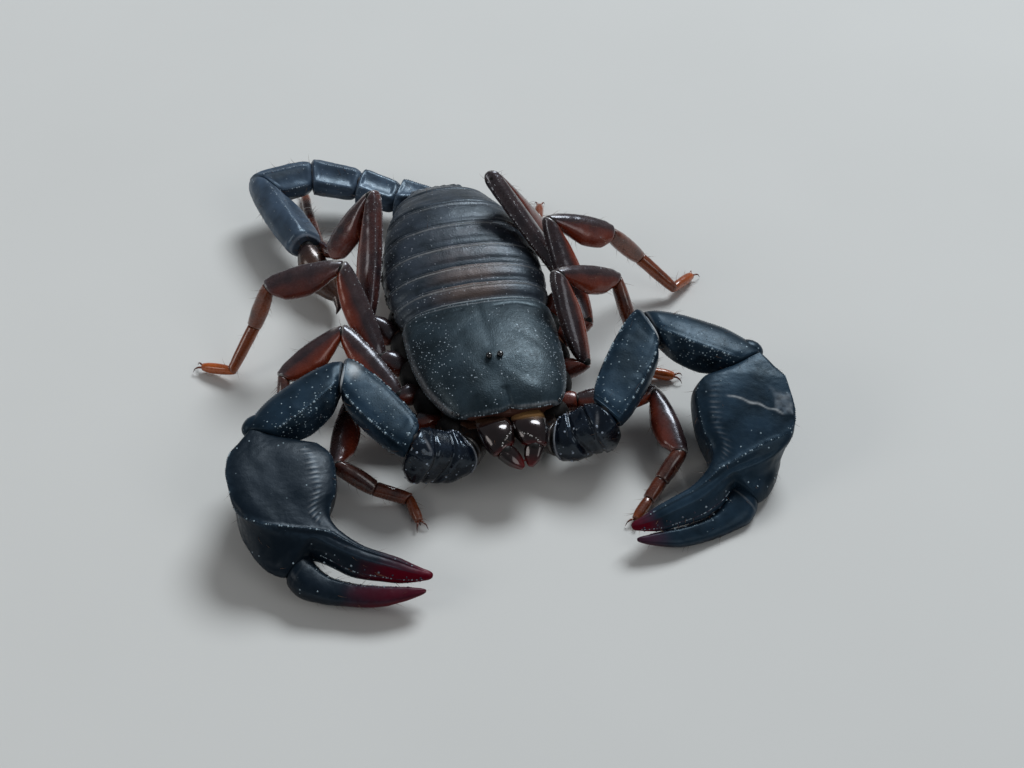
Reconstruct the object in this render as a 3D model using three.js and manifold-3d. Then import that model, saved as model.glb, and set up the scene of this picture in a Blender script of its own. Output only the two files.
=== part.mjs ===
// A small wood scorpion at rest: millimetres, +Z up, head towards -Y, its left side at +X.
import * as THREE from 'three';
import Module from 'manifold-3d';
import { mergeVertices } from 'three/addons/utils/BufferGeometryUtils.js';

const wasm = await Module();
wasm.setup();

// Clearance left at every joint, and the level the animal stands on.
const jointGap = 0.03;
const floorLevel = 0;
const degree = Math.PI / 180;

// Head shield: front and rear ends, and the level of the seam between back and underside.
const shieldFront = -3.62;
const shieldRear = 3.42;
const seamHeight = 2.4;

// Trunk plates: rear edge, half width, crest height of each.
const plateRears = [4.5, 5.7, 7.1, 8.7, 10.4, 12.2, 14.2];
const plateWidths = [3.88, 4.02, 4.02, 3.75, 3.3, 2.55, 1.35];
const plateCrests = [4.25, 4.4, 4.58, 4.68, 4.58, 3.98, 2.6];
const plateStep = 0.07;

// Colours of the shell.
const looks = {
  shell: { color: 0x1b2226, roughness: 0.5, metalness: 0.0 },
  plates: { color: 0x22282a, roughness: 0.55, metalness: 0.0 },
  claws: { color: 0x18242b, roughness: 0.42, metalness: 0.0 },
  legs: { color: 0x4a241a, roughness: 0.4, metalness: 0.0 },
  feet: { color: 0x7a3018, roughness: 0.4, metalness: 0.0 },
  jaws: { color: 0x2e1712, roughness: 0.22, metalness: 0.0 },
  eyes: { color: 0x050506, roughness: 0.08, metalness: 0.0 },
  belly: { color: 0x3a2a20, roughness: 0.55, metalness: 0.0 },
  sting: { color: 0x6b3a1c, roughness: 0.35, metalness: 0.0 },
};

const group = new THREE.Group();
group.name = 'scorpion';

function addPiece(name, shape, look) {
  const geometry = new THREE.BufferGeometry();
  geometry.setAttribute('position', new THREE.Float32BufferAttribute(shape.points.flat(), 3));
  geometry.setIndex(shape.faces.flat());
  geometry.computeVertexNormals();
  const material = new THREE.MeshStandardMaterial({ ...looks[look], flatShading: true });
  const mesh = new THREE.Mesh(geometry, material);
  mesh.name = name;
  group.add(mesh);
}

const vec = (p) => new THREE.Vector3(p[0], p[1], p[2]);
const power = (value, exponent) => Math.sign(value) * Math.abs(value) ** exponent;

// Signed volume, used to keep every shell facing outwards.
function volumeOf(shape) {
  let total = 0;
  for (const face of shape.faces) {
    const [a, b, c] = face.map((i) => vec(shape.points[i]));
    total += a.dot(b.cross(c)) / 6;
  }
  return total;
}

// Skin over a list of closed rings with the same number of corners, capped at both ends.
function skinRings(rings) {
  const points = rings.flat();
  const count = rings[0].length;
  const faces = [];
  for (let r = 0; r + 1 < rings.length; r++) {
    for (let i = 0; i < count; i++) {
      const a = r * count + i;
      const b = r * count + ((i + 1) % count);
      faces.push([a, b, b + count], [a, b + count, a + count]);
    }
  }
  const last = (rings.length - 1) * count;
  for (let i = 1; i + 1 < count; i++) {
    faces.push([0, i + 1, i], [last, last + i, last + i + 1]);
  }
  const shape = { points, faces };
  if (volumeOf(shape) < 0) shape.faces = faces.map((f) => [f[0], f[2], f[1]]);
  return shape;
}

// Corner offsets of one section: half width, height above and below its centre, squareness, lean.
function sectionCorners(sec, count) {
  const corners = [];
  for (let i = 0; i < count; i++) {
    const angle = (2 * Math.PI * i) / count;
    const across = power(Math.cos(angle), 2 / sec.n);
    const rise = power(Math.sin(angle), 2 / sec.n);
    const z = rise * (rise > 0 ? sec.up : sec.dn);
    corners.push([across * sec.w + (sec.lean ?? 0) * z + (sec.ox ?? 0), z + (sec.oz ?? 0)]);
  }
  return corners;
}

// Frame of a straight run: direction, side and up, with up leaning as asked.
function frameOf(from, to, upHint) {
  const along = to.clone().sub(from).normalize();
  const up = upHint.clone().addScaledVector(along, -upHint.dot(along)).normalize();
  const side = along.clone().cross(up).normalize();
  return { from, to, along, up, side, reach: to.distanceTo(from) };
}

// Draw an offset in on the outside of a bend, so that elbows stay round rather than pointed.
function tuckIn(offset, along, plane, weight) {
  const fold = plane.dot(along);
  const bend = plane.clone().addScaledVector(along, -fold);
  if (bend.length() < 1e-4) return;
  bend.normalize();
  offset.addScaledVector(bend, -offset.dot(bend) * (1 - fold) * weight);
}

// A limb along a chain of joints. Each end and each inner joint is cut on its mitre plane,
// so two limbs that share a joint and a mitre meet face to face with only the gap between.
function limb({ joints, sections, count = 8, before, after, ups, open = [0, 0] }) {
  const nodes = joints.map(vec);
  const runs = [];
  for (let k = 0; k + 1 < nodes.length; k++) {
    const hint = vec(ups?.[k] ?? [0, 0, 1]);
    runs.push(frameOf(nodes[k], nodes[k + 1], hint));
  }
  const first = before ? runs[0].along.clone().add(runs[0].from.clone().sub(vec(before)).normalize())
    : runs[0].along.clone();
  const lastRun = runs[runs.length - 1];
  const last = after ? lastRun.along.clone().add(vec(after).sub(lastRun.to).normalize())
    : lastRun.along.clone();
  const planes = [first.normalize()];
  for (let k = 1; k < runs.length; k++) {
    planes.push(runs[k - 1].along.clone().add(runs[k].along).normalize());
  }
  planes.push(last.normalize());
  const rings = sections.map((sec) => {
    const run = runs[sec.k ?? 0];
    const near = planes[sec.k ?? 0];
    const far = planes[(sec.k ?? 0) + 1];
    const startGap = (sec.k ?? 0) === 0 ? jointGap / 2 + open[0] : 0;
    const endGap = (sec.k ?? 0) === runs.length - 1 ? jointGap / 2 + open[1] : 0;
    const steep = run.reach > 2.5 ? 3 : 2;
    return sectionCorners(sec, count).map(([x, z]) => {
      const offset = run.side.clone().multiplyScalar(x).addScaledVector(run.up, z);
      tuckIn(offset, run.along, near, (1 - sec.t) ** steep);
      tuckIn(offset, run.along, far, sec.t ** steep);
      const early = (startGap - offset.dot(near)) / run.along.dot(near);
      const late = (-endGap - offset.dot(far)) / run.along.dot(far);
      const u = run.reach * sec.t + early * (1 - sec.t) ** steep + late * sec.t ** steep;
      const p = run.from.clone().add(offset).addScaledVector(run.along, u);
      return [p.x, p.y, Math.max(p.z, floorLevel)];
    });
  });
  return skinRings(rings);
}

// Scale the thickness of a list of sections.
const thicken = (sections, factor) => sections.map((s) => ({
  ...s, w: s.w * factor, up: s.up * factor, dn: s.dn * factor,
}));

// Points and faces of a library geometry, with its shared corners merged.
function shapeOf(geometry) {
  const merged = mergeVertices(new THREE.BufferGeometry()
    .setAttribute('position', geometry.attributes.position).setIndex(geometry.index), 1e-4);
  const at = merged.attributes.position;
  const points = Array.from({ length: at.count }, (_, i) => [at.getX(i), at.getY(i), at.getZ(i)]);
  const faces = [];
  for (let i = 0; i < merged.index.count; i += 3) {
    const [a, b, c] = merged.index.array.slice(i, i + 3);
    if (a !== b && b !== c && a !== c) faces.push([a, b, c]);
  }
  return { points, faces };
}

const toManifold = (shape) => {
  const geometry = new THREE.BufferGeometry();
  geometry.setAttribute('position', new THREE.Float32BufferAttribute(shape.points.flat(), 3));
  geometry.setIndex(shape.faces.flat());
  const merged = mergeVertices(geometry, 1e-3);
  return new wasm.Manifold(new wasm.Mesh({
    numProp: 3,
    vertProperties: merged.attributes.position.array,
    triVerts: Uint32Array.from(merged.index.array),
  }));
};

const fromManifold = (solid) => {
  const mesh = solid.getMesh();
  const points = [];
  for (let i = 0; i < mesh.vertProperties.length; i += 3) {
    points.push(Array.from(mesh.vertProperties.slice(i, i + 3)));
  }
  const faces = [];
  for (let i = 0; i < mesh.triVerts.length; i += 3) {
    faces.push(Array.from(mesh.triVerts.slice(i, i + 3)));
  }
  return { points, faces };
};

// One arched slice of the back: crest at the middle, margin at the sides, flat below.
function archRing(y, halfWidth, crest, margin, base, fullness, count = 14, bow = 0) {
  const ring = [];
  for (let i = 0; i <= count; i++) {
    const angle = (Math.PI * i) / count;
    const x = halfWidth * power(Math.cos(angle), 2 / fullness);
    const z = margin + (crest - margin) * power(Math.sin(angle), 2 / fullness);
    ring.push([x, y + bow * (x / halfWidth) ** 2, z]);
  }
  ring.push([-halfWidth * 0.9, y + bow * 0.81, base], [halfWidth * 0.9, y + bow * 0.81, base]);
  return ring;
}

// Head shield. Rows: station, half width, crest, margin.
const shieldRows = [
  [shieldFront, 2.0, 3.46, 3.12],
  [-3.42, 2.42, 3.64, 3.0],
  [-2.85, 2.8, 3.9, 2.9],
  [-2.1, 3.12, 4.1, 2.8],
  [-1.2, 3.4, 4.3, 2.74],
  [-0.6, 3.52, 4.38, 2.72],
  [0.6, 3.66, 4.36, 2.7],
  [1.9, 3.72, 4.3, 2.68],
  [2.9, 3.72, 4.2, 2.68],
  [shieldRear, 3.52, 4.1, 2.7],
];
// The head is turned a little to the animal's left.
const headTurn = (y) => 0.3 * Math.max(0, (0.6 - y) / 4.2) ** 1.4;
const shieldRings = shieldRows.map(([y, w, crest, margin]) => (
  archRing(y, w, crest, margin, seamHeight + 0.02, 2.5, 16)
    .map((p) => [p[0] + headTurn(y), p[1], p[2]])
));
addPiece('carapace', skinRings(shieldRings), 'shell');

// Middle eyes, one each side of the shield's ridge.
const eyeRadius = 0.17;
const eyeSpot = [0.27, -0.88, 4.5];
const eyeShift = headTurn(eyeSpot[1]);
for (const side of [1, -1]) {
  const eye = new THREE.SphereGeometry(eyeRadius, 10, 6).scale(0.9, 1, 0.8);
  eye.translate(side * eyeSpot[0] + eyeShift, eyeSpot[1], eyeSpot[2]);
  addPiece(side > 0 ? 'eye_left' : 'eye_right', shapeOf(eye), 'eyes');
}

// Trunk plates, each rising to a rear edge that stands proud of the next plate.
let front = shieldRear;
let frontWidth = 3.6;
let frontCrest = 4.02;
for (let i = 0; i < plateRears.length; i++) {
  const rear = plateRears[i];
  const width = plateWidths[i];
  const crest = plateCrests[i];
  const margin = 2.62 - 0.05 * Math.max(0, i - 4) - (i === 6 ? 0.35 : 0);
  const fore = 2.62 - 0.05 * Math.max(0, i - 5);
  const full = i === 6 ? 2.1 : 2.3;
  const base = seamHeight + 0.02;
  const start = front + jointGap;
  const middle = (start + rear) / 2;
  const middleWidth = (frontWidth + width) / 2 + 0.03;
  const middleCrest = (frontCrest + crest) / 2 + 0.04;
  const rearMargin = Math.max(margin, base + 0.02);
  const rings = [
    archRing(start, frontWidth - plateStep, frontCrest - plateStep, fore, base, full),
    archRing(middle, middleWidth, middleCrest, (fore + margin) / 2, base, full),
    archRing(rear - 0.12, width + 0.02, crest + 0.02, rearMargin, base, full),
    archRing(rear, width - 0.02, crest - 0.01, rearMargin, base, full),
  ];
  addPiece(`tergite_${i + 1}`, skinRings(rings), 'plates');
  front = rear;
  frontWidth = width;
  frontCrest = crest;
}

// Underside plates behind the legs: station, half width, lowest level, width of the flat.
const bellyRows = [
  [4.85, 3.55, 0.12, 2.3],
  [6.3, 3.85, 0.0, 2.7],
  [6.45, 3.77, 0.04, 2.6],
  [8.0, 3.7, 0.0, 2.6],
  [8.15, 3.62, 0.04, 2.5],
  [9.7, 3.3, 0.0, 2.3],
  [9.85, 3.2, 0.04, 2.2],
  [11.3, 2.7, 0.1, 1.9],
  [11.45, 2.6, 0.16, 1.8],
  [14.15, 1.25, 0.55, 0.8],
];
const bellyRings = bellyRows.map(([y, w, low, flat]) => {
  const top = seamHeight - 0.01;
  const half = [[w * 0.97, top], [w, top - 0.5], [(w + flat) / 2 + 0.25, low + 0.45], [flat, low]];
  const right = half.map(([x, z]) => [x, y, z]);
  const left = half.map(([x, z]) => [-x, y, z]).reverse();
  return [...right, [0, y, low], ...left];
});
addPiece('venter', skinRings(bellyRings), 'belly');

// Leg joints, from the body outwards: hip, trochanter, knee, shin end, shank end, ankle, toe.
const legJoints = {
  r1: [[-2.75, -1.55, 1.4], [-3.95, -1.65, 1.5], [-6.75, -0.15, 2.0], [-8.0, -3.9, 1.85],
    [-6.45, -4.75, 0.8], [-4.95, -5.4, 0.42], [-4.65, -7.0, 0.22]],
  r2: [[-3.35, 0.1, 1.6], [-4.5, -0.05, 1.8], [-6.68, 3.2, 3.3], [-9.75, 1.75, 2.3],
    [-10.1, -0.3, 0.85], [-9.5, -1.9, 0.4], [-8.3, -2.9, 0.22]],
  r3: [[-3.85, 1.9, 1.6], [-5.0, 2.5, 2.0], [-6.22, 6.15, 4.85], [-9.83, 5.85, 4.5],
    [-10.75, 5.7, 2.25], [-12.15, 4.52, 0.62], [-13.95, 5.6, 0.22]],
  r4: [[-4.0, 4.1, 1.6], [-5.2, 5.15, 2.1], [-3.95, 9.95, 5.85], [-6.2, 9.6, 3.0],
    [-6.65, 12.65, 0.8], [-6.85, 16.1, 0.5], [-6.8, 18.3, 0.22]],
  l1: [[2.75, -1.6, 1.4], [3.95, -1.9, 1.5], [7.5, -2.7, 2.0], [7.85, -6.1, 1.45],
    [6.75, -7.0, 0.75], [5.95, -7.75, 0.42], [4.85, -8.85, 0.22]],
  l2: [[3.5, 0.05, 1.65], [4.7, 0.1, 2.05], [4.1, 3.0, 5.3], [7.28, 3.75, 3.7],
    [7.85, 2.1, 1.5], [8.1, 0.3, 0.5], [9.75, -0.2, 0.22]],
  l3: [[4.05, 2.15, 1.7], [5.45, 2.75, 2.2], [4.55, 6.6, 5.6], [7.7, 6.55, 4.3],
    [9.4, 6.8, 2.2], [11.1, 5.85, 0.6], [12.75, 7.15, 0.22]],
  l4: [[4.0, 4.15, 1.65], [5.3, 5.2, 2.4], [2.2, 9.62, 6.4], [5.0, 9.3, 2.35],
    [3.6, 11.9, 0.75], [5.45, 12.9, 0.42], [5.9, 14.5, 0.22]],
};
const legSize = { 1: 0.88, 2: 0.95, 3: 1.0, 4: 1.06 };
const thighSections = [
  { k: 0, t: 0, w: 0.46, up: 0.48, dn: 0.48, n: 2.2 },
  { k: 0, t: 0.5, w: 0.54, up: 0.6, dn: 0.58, n: 2.2 },
  { k: 0, t: 1, w: 0.42, up: 0.5, dn: 0.5, n: 2.2 },
  { k: 1, t: 0.2, w: 0.44, up: 0.6, dn: 0.64, n: 2.2 },
  { k: 1, t: 0.6, w: 0.45, up: 0.7, dn: 0.76, n: 2.2 },
  { k: 1, t: 0.88, w: 0.44, up: 0.68, dn: 0.66, n: 2.2 },
  { k: 1, t: 1, w: 0.38, up: 0.5, dn: 0.48, n: 2.2 },
];
const kneeSections = [
  { t: 0, w: 0.38, up: 0.48, dn: 0.46, n: 2.2 },
  { t: 0.14, w: 0.45, up: 0.66, dn: 0.68, n: 2.2 },
  { t: 0.5, w: 0.48, up: 0.7, dn: 0.9, n: 2.2 },
  { t: 0.84, w: 0.42, up: 0.56, dn: 0.64, n: 2.2 },
  { t: 1, w: 0.34, up: 0.4, dn: 0.38, n: 2.2 },
];
const shinSections = [
  { k: 0, t: 0, w: 0.3, up: 0.34, dn: 0.34, n: 2.1 },
  { k: 0, t: 0.45, w: 0.34, up: 0.42, dn: 0.42, n: 2.1 },
  { k: 0, t: 1, w: 0.28, up: 0.32, dn: 0.32, n: 2.1 },
  { k: 1, t: 0.5, w: 0.28, up: 0.31, dn: 0.31, n: 2.1 },
  { k: 1, t: 1, w: 0.25, up: 0.26, dn: 0.26, n: 2.1 },
  { k: 2, t: 0.35, w: 0.26, up: 0.28, dn: 0.3, n: 2.1 },
  { k: 2, t: 0.75, w: 0.25, up: 0.26, dn: 0.32, n: 2.1 },
  { k: 2, t: 1, w: 0.34, up: 0.12, dn: 0.3, n: 2.1 },
];
// The back edge of a leg lies on the outside of its bend at the knee.
function kneeSide(j) {
  const thigh = vec(j[2]).sub(vec(j[1])).normalize();
  const lower = vec(j[3]).sub(vec(j[2])).normalize();
  return thigh.sub(lower).toArray();
}
for (const [name, j] of Object.entries(legJoints)) {
  const size = legSize[name[1]];
  const back = kneeSide(j);
  addPiece(`leg_${name}_thigh`, limb({
    joints: [j[0], j[1], j[2]], after: j[3], ups: [back, back], open: [jointGap, 0],
    sections: thicken(thighSections, size),
  }), 'legs');
  addPiece(`leg_${name}_knee`, limb({
    joints: [j[2], j[3]], before: j[1], after: j[4], ups: [back],
    sections: thicken(kneeSections, size),
  }), 'legs');
  addPiece(`leg_${name}_foot`, limb({
    joints: [j[3], j[4], j[5], j[6]], before: j[2], sections: shinSections,
  }), 'feet');
}

// Claw arms: hip, trochanter end, elbow, wrist, finger tip, how far the fingers part,
// roll of the hand about its own length in degrees, extra depth of the first segment,
// breadth of the palm, of the upper arm and of the fixed finger.
const arms = {
  right: {
    side: -1, hip: [-2.0, -4.25, 1.75], shoulder: [-4.54, -4.35, 3.1], elbow: [-7.07, -0.1, 3.65],
    wrist: [-11.22, -2.62, 3.1], tip: [-4.84, -10.72, 1.42], part: 0.62, roll: 0, drop: 0.25,
    breadth: 1, upper: 1.04, grip: 1,
  },
  left: {
    side: 1, hip: [2.35, -4.3, 1.75], shoulder: [4.7, -4.35, 3.0], elbow: [7.88, 0.08, 3.8],
    wrist: [12.02, -2.83, 3.4], tip: [4.5, -9.9, 1.4], part: 0.48, roll: -15, drop: 0,
    breadth: 0.95, upper: 1.16, grip: 1.25,
  },
};
const armHipSections = [
  { t: 0, w: 0.85, up: 0.7, dn: 0.95, n: 2.3, oz: -0.1 },
  { t: 0.22, w: 1.12, up: 1.0, dn: 1.3, n: 2.3, oz: -0.25 },
  { t: 0.48, w: 1.02, up: 1.0, dn: 1.5, n: 2.3, oz: -0.35 },
  { t: 0.72, w: 1.14, up: 1.05, dn: 1.6, n: 2.3, oz: -0.35 },
  { t: 1, w: 0.8, up: 0.68, dn: 0.95, n: 2.3, oz: -0.1 },
];
const armThighSections = [
  { t: 0, w: 0.78, up: 0.6, dn: 0.66, n: 2.6 },
  { t: 0.15, w: 0.95, up: 0.74, dn: 0.8, n: 2.6 },
  { t: 0.45, w: 1.08, up: 0.78, dn: 0.86, n: 2.6 },
  { t: 0.75, w: 1.14, up: 0.82, dn: 0.84, n: 2.6 },
  { t: 0.93, w: 1.06, up: 0.8, dn: 0.78, n: 2.6 },
  { t: 1, w: 0.82, up: 0.66, dn: 0.66, n: 2.6 },
];
const armShinSections = [
  { t: 0, w: 0.78, up: 0.64, dn: 0.66, n: 2.5 },
  { t: 0.12, w: 1.02, up: 0.86, dn: 0.95, n: 2.5 },
  { t: 0.35, w: 1.2, up: 0.98, dn: 1.15, n: 2.5 },
  { t: 0.62, w: 1.24, up: 1.0, dn: 1.2, n: 2.5 },
  { t: 0.86, w: 1.08, up: 0.84, dn: 1.0, n: 2.5 },
  { t: 1, w: 0.82, up: 0.68, dn: 0.72, n: 2.5 },
];

// Hand in its own frame: first axis wrist to tip, second outwards, third up.
// Rows: station, offset, heading, inner and outer half width on top, outer half width
// below, top and bottom level.
const handRows = [
  [0.0, 0.0, 28, 0.8, 0.5, 0.5, 0.6, -0.75],
  [0.45, 0.24, 28, 1.55, 1.15, 1.0, 0.72, -1.35],
  [1.05, 0.52, 28, 2.3, 1.9, 1.5, 0.82, -1.85],
  [1.95, 0.97, 28, 2.65, 2.3, 1.85, 0.88, -2.15],
  [3.0, 1.5, 25, 2.45, 2.38, 2.2, 0.86, -2.2],
  [4.0, 1.9, 18, 2.05, 1.9, 2.3, 0.78, -2.05],
  [4.8, 2.05, 4, 1.5, 1.1, 2.3, 0.68, -1.85],
  [5.3, 2.03, -8, 1.15, 0.66, 2.1, 0.62, -1.6],
  [5.6, 1.96, -12, 0.85, 0.5, 0.85, 0.6, -1.25],
];
// Fixed finger rows share the hand's columns.
const fingerRows = [
  [6.3, 1.82, -17, 0.55, 0.44, 0.78, 0.56, -1.0],
  [7.4, 1.5, -24, 0.38, 0.38, 0.88, 0.46, -0.85],
  [8.7, 0.86, -31, 0.32, 0.34, 0.74, 0.34, -0.66],
  [9.8, 0.3, -35, 0.27, 0.28, 0.55, 0.24, -0.48],
  [10.45, -0.08, -40, 0.18, 0.16, 0.3, 0.14, -0.26],
];
// Moving finger: station, offset, heading, half width, height above and below, level.
const thumbRows = [
  [5.84, 3.42, -8, 0.84, 0.72, 0.8, -1.05],
  [6.35, 3.52, -16, 0.8, 0.7, 0.8, -1.05],
  [7.2, 3.34, -28, 0.62, 0.56, 0.66, -1.0],
  [8.2, 2.86, -33, 0.52, 0.44, 0.52, -0.86],
  [9.3, 2.12, -38, 0.46, 0.38, 0.46, -0.62],
  [10.2, 1.24, -42, 0.36, 0.3, 0.34, -0.38],
  [10.72, 0.64, -46, 0.18, 0.14, 0.16, -0.24],
];

function handFrame(arm) {
  const wrist = vec(arm.wrist);
  const along = vec(arm.tip).sub(wrist).normalize();
  const out = new THREE.Vector3(-along.y, along.x, 0).normalize();
  if (out.x * arm.side < 0) out.negate();
  const up = along.clone().cross(out).normalize();
  if (up.z < 0) up.negate();
  const level = out.clone();
  out.multiplyScalar(Math.cos(arm.roll * degree)).addScaledVector(up, Math.sin(arm.roll * degree));
  up.multiplyScalar(Math.cos(arm.roll * degree)).addScaledVector(level, -Math.sin(arm.roll * degree));
  return (a, c, h) => wrist.clone().addScaledVector(along, a).addScaledVector(out, c)
    .addScaledVector(up, h);
}

// Fourteen corners around the hand, flat on top with a sharp outer edge, fuller below.
function handRing(place, row, breadth) {
  const [a, c, heading] = row;
  const [inner, outer, low] = row.slice(3, 6).map((w) => w * breadth);
  const [top, bottom] = row.slice(6);
  const turn = heading * degree;
  const spot = (x, z) => {
    const p = place(a - x * Math.sin(turn), c + x * Math.cos(turn), z);
    return [p.x, p.y, Math.max(p.z, floorLevel)];
  };
  const deep = top - bottom;
  const topFace = [
    [outer, top - deep * 0.05], [outer * 0.55, top], [0, top], [-inner * 0.6, top - deep * 0.02],
  ];
  const innerFace = [
    [-inner * 0.92, top - deep * 0.1], [-inner, top - deep * 0.28], [-inner * 0.95, top - deep * 0.55],
    [-inner * 0.8, bottom + deep * 0.16], [-inner * 0.45, bottom + deep * 0.03],
  ];
  const outerFace = [
    [low * 0.3, bottom], [low * 0.75, bottom + deep * 0.06], [low * 0.98, bottom + deep * 0.24],
    [Math.max(low, outer * 0.9), bottom + deep * 0.45], [(low + outer) / 2 + 0.04, bottom + deep * 0.72],
  ];
  return [...topFace, ...innerFace, ...outerFace].map(([x, z]) => spot(x, z));
}

// Draw the root of the hand back to the mitre plane it shares with the forearm.
const seatWeights = [1, 0.72, 0.38, 0.1];
function seatHand(rings, wrist, elbow, knuckle) {
  const heading = knuckle.clone().sub(wrist).normalize();
  const mitre = wrist.clone().sub(elbow).normalize().add(heading).normalize();
  for (let i = 0; i < rings[0].length; i++) {
    const offset = vec(rings[0][i]).sub(wrist);
    const need = (jointGap / 2 - offset.dot(mitre)) / heading.dot(mitre);
    for (let r = 0; r < seatWeights.length; r++) {
      const p = vec(rings[r][i]).addScaledVector(heading, need * seatWeights[r]);
      rings[r][i] = [p.x, p.y, Math.max(p.z, floorLevel)];
    }
  }
}

for (const [name, arm] of Object.entries(arms)) {
  addPiece(`arm_${name}_hip`, limb({
    joints: [arm.hip, arm.shoulder], before: [arm.side, -1.9, 1.5], after: arm.elbow,
    sections: armHipSections.map((s) => ({ ...s, dn: s.dn + arm.drop * Math.sin(Math.PI * s.t) })),
    count: 12,
  }), 'claws');
  addPiece(`arm_${name}_thigh`, limb({
    joints: [arm.shoulder, arm.elbow], before: arm.hip, after: arm.wrist,
    sections: armThighSections.map((s) => ({ ...s, w: s.w * arm.upper })), count: 12,
  }), 'claws');
  const place = handFrame(arm);
  const knuckle = place(1.0, 0.53, -0.1);
  addPiece(`arm_${name}_shin`, limb({
    joints: [arm.elbow, arm.wrist], before: arm.shoulder, after: [knuckle.x, knuckle.y, knuckle.z],
    sections: armShinSections, count: 12,
  }), 'claws');
  const gripped = fingerRows.map((row) => row.map((v, i) => (
    i === 5 ? v * (1 + (arm.grip - 1) * Math.min(1, Math.max(0, row[0] - 6.3))) : v)));
  const handRings = [...handRows, ...gripped].map((row) => handRing(place, row, arm.breadth));
  seatHand(handRings, vec(arm.wrist), vec(arm.elbow), knuckle);
  addPiece(`arm_${name}_hand`, skinRings(handRings), 'claws');
  const pivot = [5.84, 3.42];
  const swing = (arm.part - 0.62) / 5.2;
  const thumbRings = thumbRows.map(([a, c, heading, w, up, dn, level]) => {
    const turn = heading * degree;
    return sectionCorners({ w, up, dn, n: 2.3 }, 8).map(([x, z]) => {
      const da = a - x * Math.sin(turn) - pivot[0];
      const dc = c + x * Math.cos(turn) - pivot[1];
      const p = place(pivot[0] + da + dc * swing, pivot[1] + dc - da * Math.abs(swing), level + z);
      return [p.x, p.y, Math.max(p.z, floorLevel)];
    });
  });
  addPiece(`arm_${name}_thumb`, skinRings(thumbRings), 'claws');
}

// Jaws below the front edge of the shield, each a body and a moving finger.
const jawSections = [
  { t: 0, w: 0.76, up: 0.52, dn: 0.6, n: 2.4 },
  { t: 0.3, w: 0.82, up: 0.62, dn: 0.7, n: 2.4 },
  { t: 0.7, w: 0.74, up: 0.58, dn: 0.66, n: 2.4 },
  { t: 1, w: 0.54, up: 0.38, dn: 0.46, n: 2.4 },
];
const jawTipSections = [
  { t: 0, w: 0.48, up: 0.36, dn: 0.42, n: 2.2 },
  { t: 0.5, w: 0.4, up: 0.3, dn: 0.34, n: 2.2 },
  { t: 1, w: 0.12, up: 0.1, dn: 0.12, n: 2.2 },
];
for (const side of [1, -1]) {
  const name = side > 0 ? 'left' : 'right';
  const root = [side * 0.85 + 0.18, -3.7, 2.92];
  const bend = [side * 0.7 + 0.32, -5.3, 2.6];
  const end = [side * 0.16 + 0.5, -6.05, 2.1];
  addPiece(`jaw_${name}`, limb({
    joints: [root, bend], before: [root[0], root[1] + 1, root[2]], after: end, sections: jawSections,
  }), 'jaws');
  addPiece(`jaw_${name}_finger`, limb({
    joints: [bend, end], before: root, sections: jawTipSections,
  }), 'jaws');
}

// Underside of the head: a breastplate with the leg hips growing out of it.
const breastRows = [
  [-3.45, 1.55, 2.1, 1.45],
  [-2.6, 2.1, 1.2, 0.75],
  [-1.2, 2.5, 0.75, 0.0],
  [0.4, 2.9, 0.7, 0.0],
  [1.4, 3.2, 0.75, 0.0],
  [1.5, 3.2, 0.8, 0.45],
  [4.4, 3.35, 0.85, 0.45],
  [4.8, 2.9, 0.9, 0.5],
];
const breastRings = breastRows.map(([y, w, side, low]) => {
  const half = [[w * 0.92, seamHeight], [w, (seamHeight + side) / 2 + 0.2], [w * 0.8, side], [w * 0.34, low]];
  const right = half.map(([x, z]) => [x, y, z]);
  const left = half.map(([x, z]) => [-x, y, z]).reverse();
  return [...right, ...left];
});
let breast = toManifold(skinRings(breastRings));
const hipSections = [
  { t: 0, w: 0.5, up: 0.5, dn: 0.6, n: 2.2 },
  { t: 0.5, w: 0.68, up: 0.6, dn: 0.7, n: 2.2 },
  { t: 0.85, w: 0.66, up: 0.62, dn: 0.68, n: 2.2 },
  { t: 1, w: 0.54, up: 0.56, dn: 0.58, n: 2.2 },
];
const hipRoots = { 1: [0.7, -1.5, 1.05], 2: [0.8, -0.2, 0.9], 3: [0.9, 1.0, 0.9], 4: [1.2, 2.4, 1.25] };
for (const [name, j] of Object.entries(legJoints)) {
  const side = name[0] === 'l' ? 1 : -1;
  const [x, y, z] = hipRoots[name[1]];
  breast = breast.add(toManifold(limb({
    joints: [[side * x, y, z], j[0]], after: j[1], sections: hipSections,
  })));
}
const armRootSections = [
  { t: 0, w: 0.7, up: 0.6, dn: 0.6, n: 2.3 },
  { t: 0.5, w: 0.98, up: 0.72, dn: 0.95, n: 2.3 },
  { t: 1, w: 0.8, up: 0.72, dn: 0.84, n: 2.3 },
];
for (const arm of Object.values(arms)) {
  breast = breast.add(toManifold(limb({
    joints: [[arm.side * 1.0, -1.9, 1.5], arm.hip], after: arm.shoulder,
    sections: armRootSections, count: 10,
  })));
}
const roof = new THREE.BoxGeometry(12, 14, 4).translate(0, 0, seamHeight + 2);
breast = breast.subtract(toManifold(shapeOf(roof)));
addPiece('underside', fromManifold(breast), 'belly');

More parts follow.
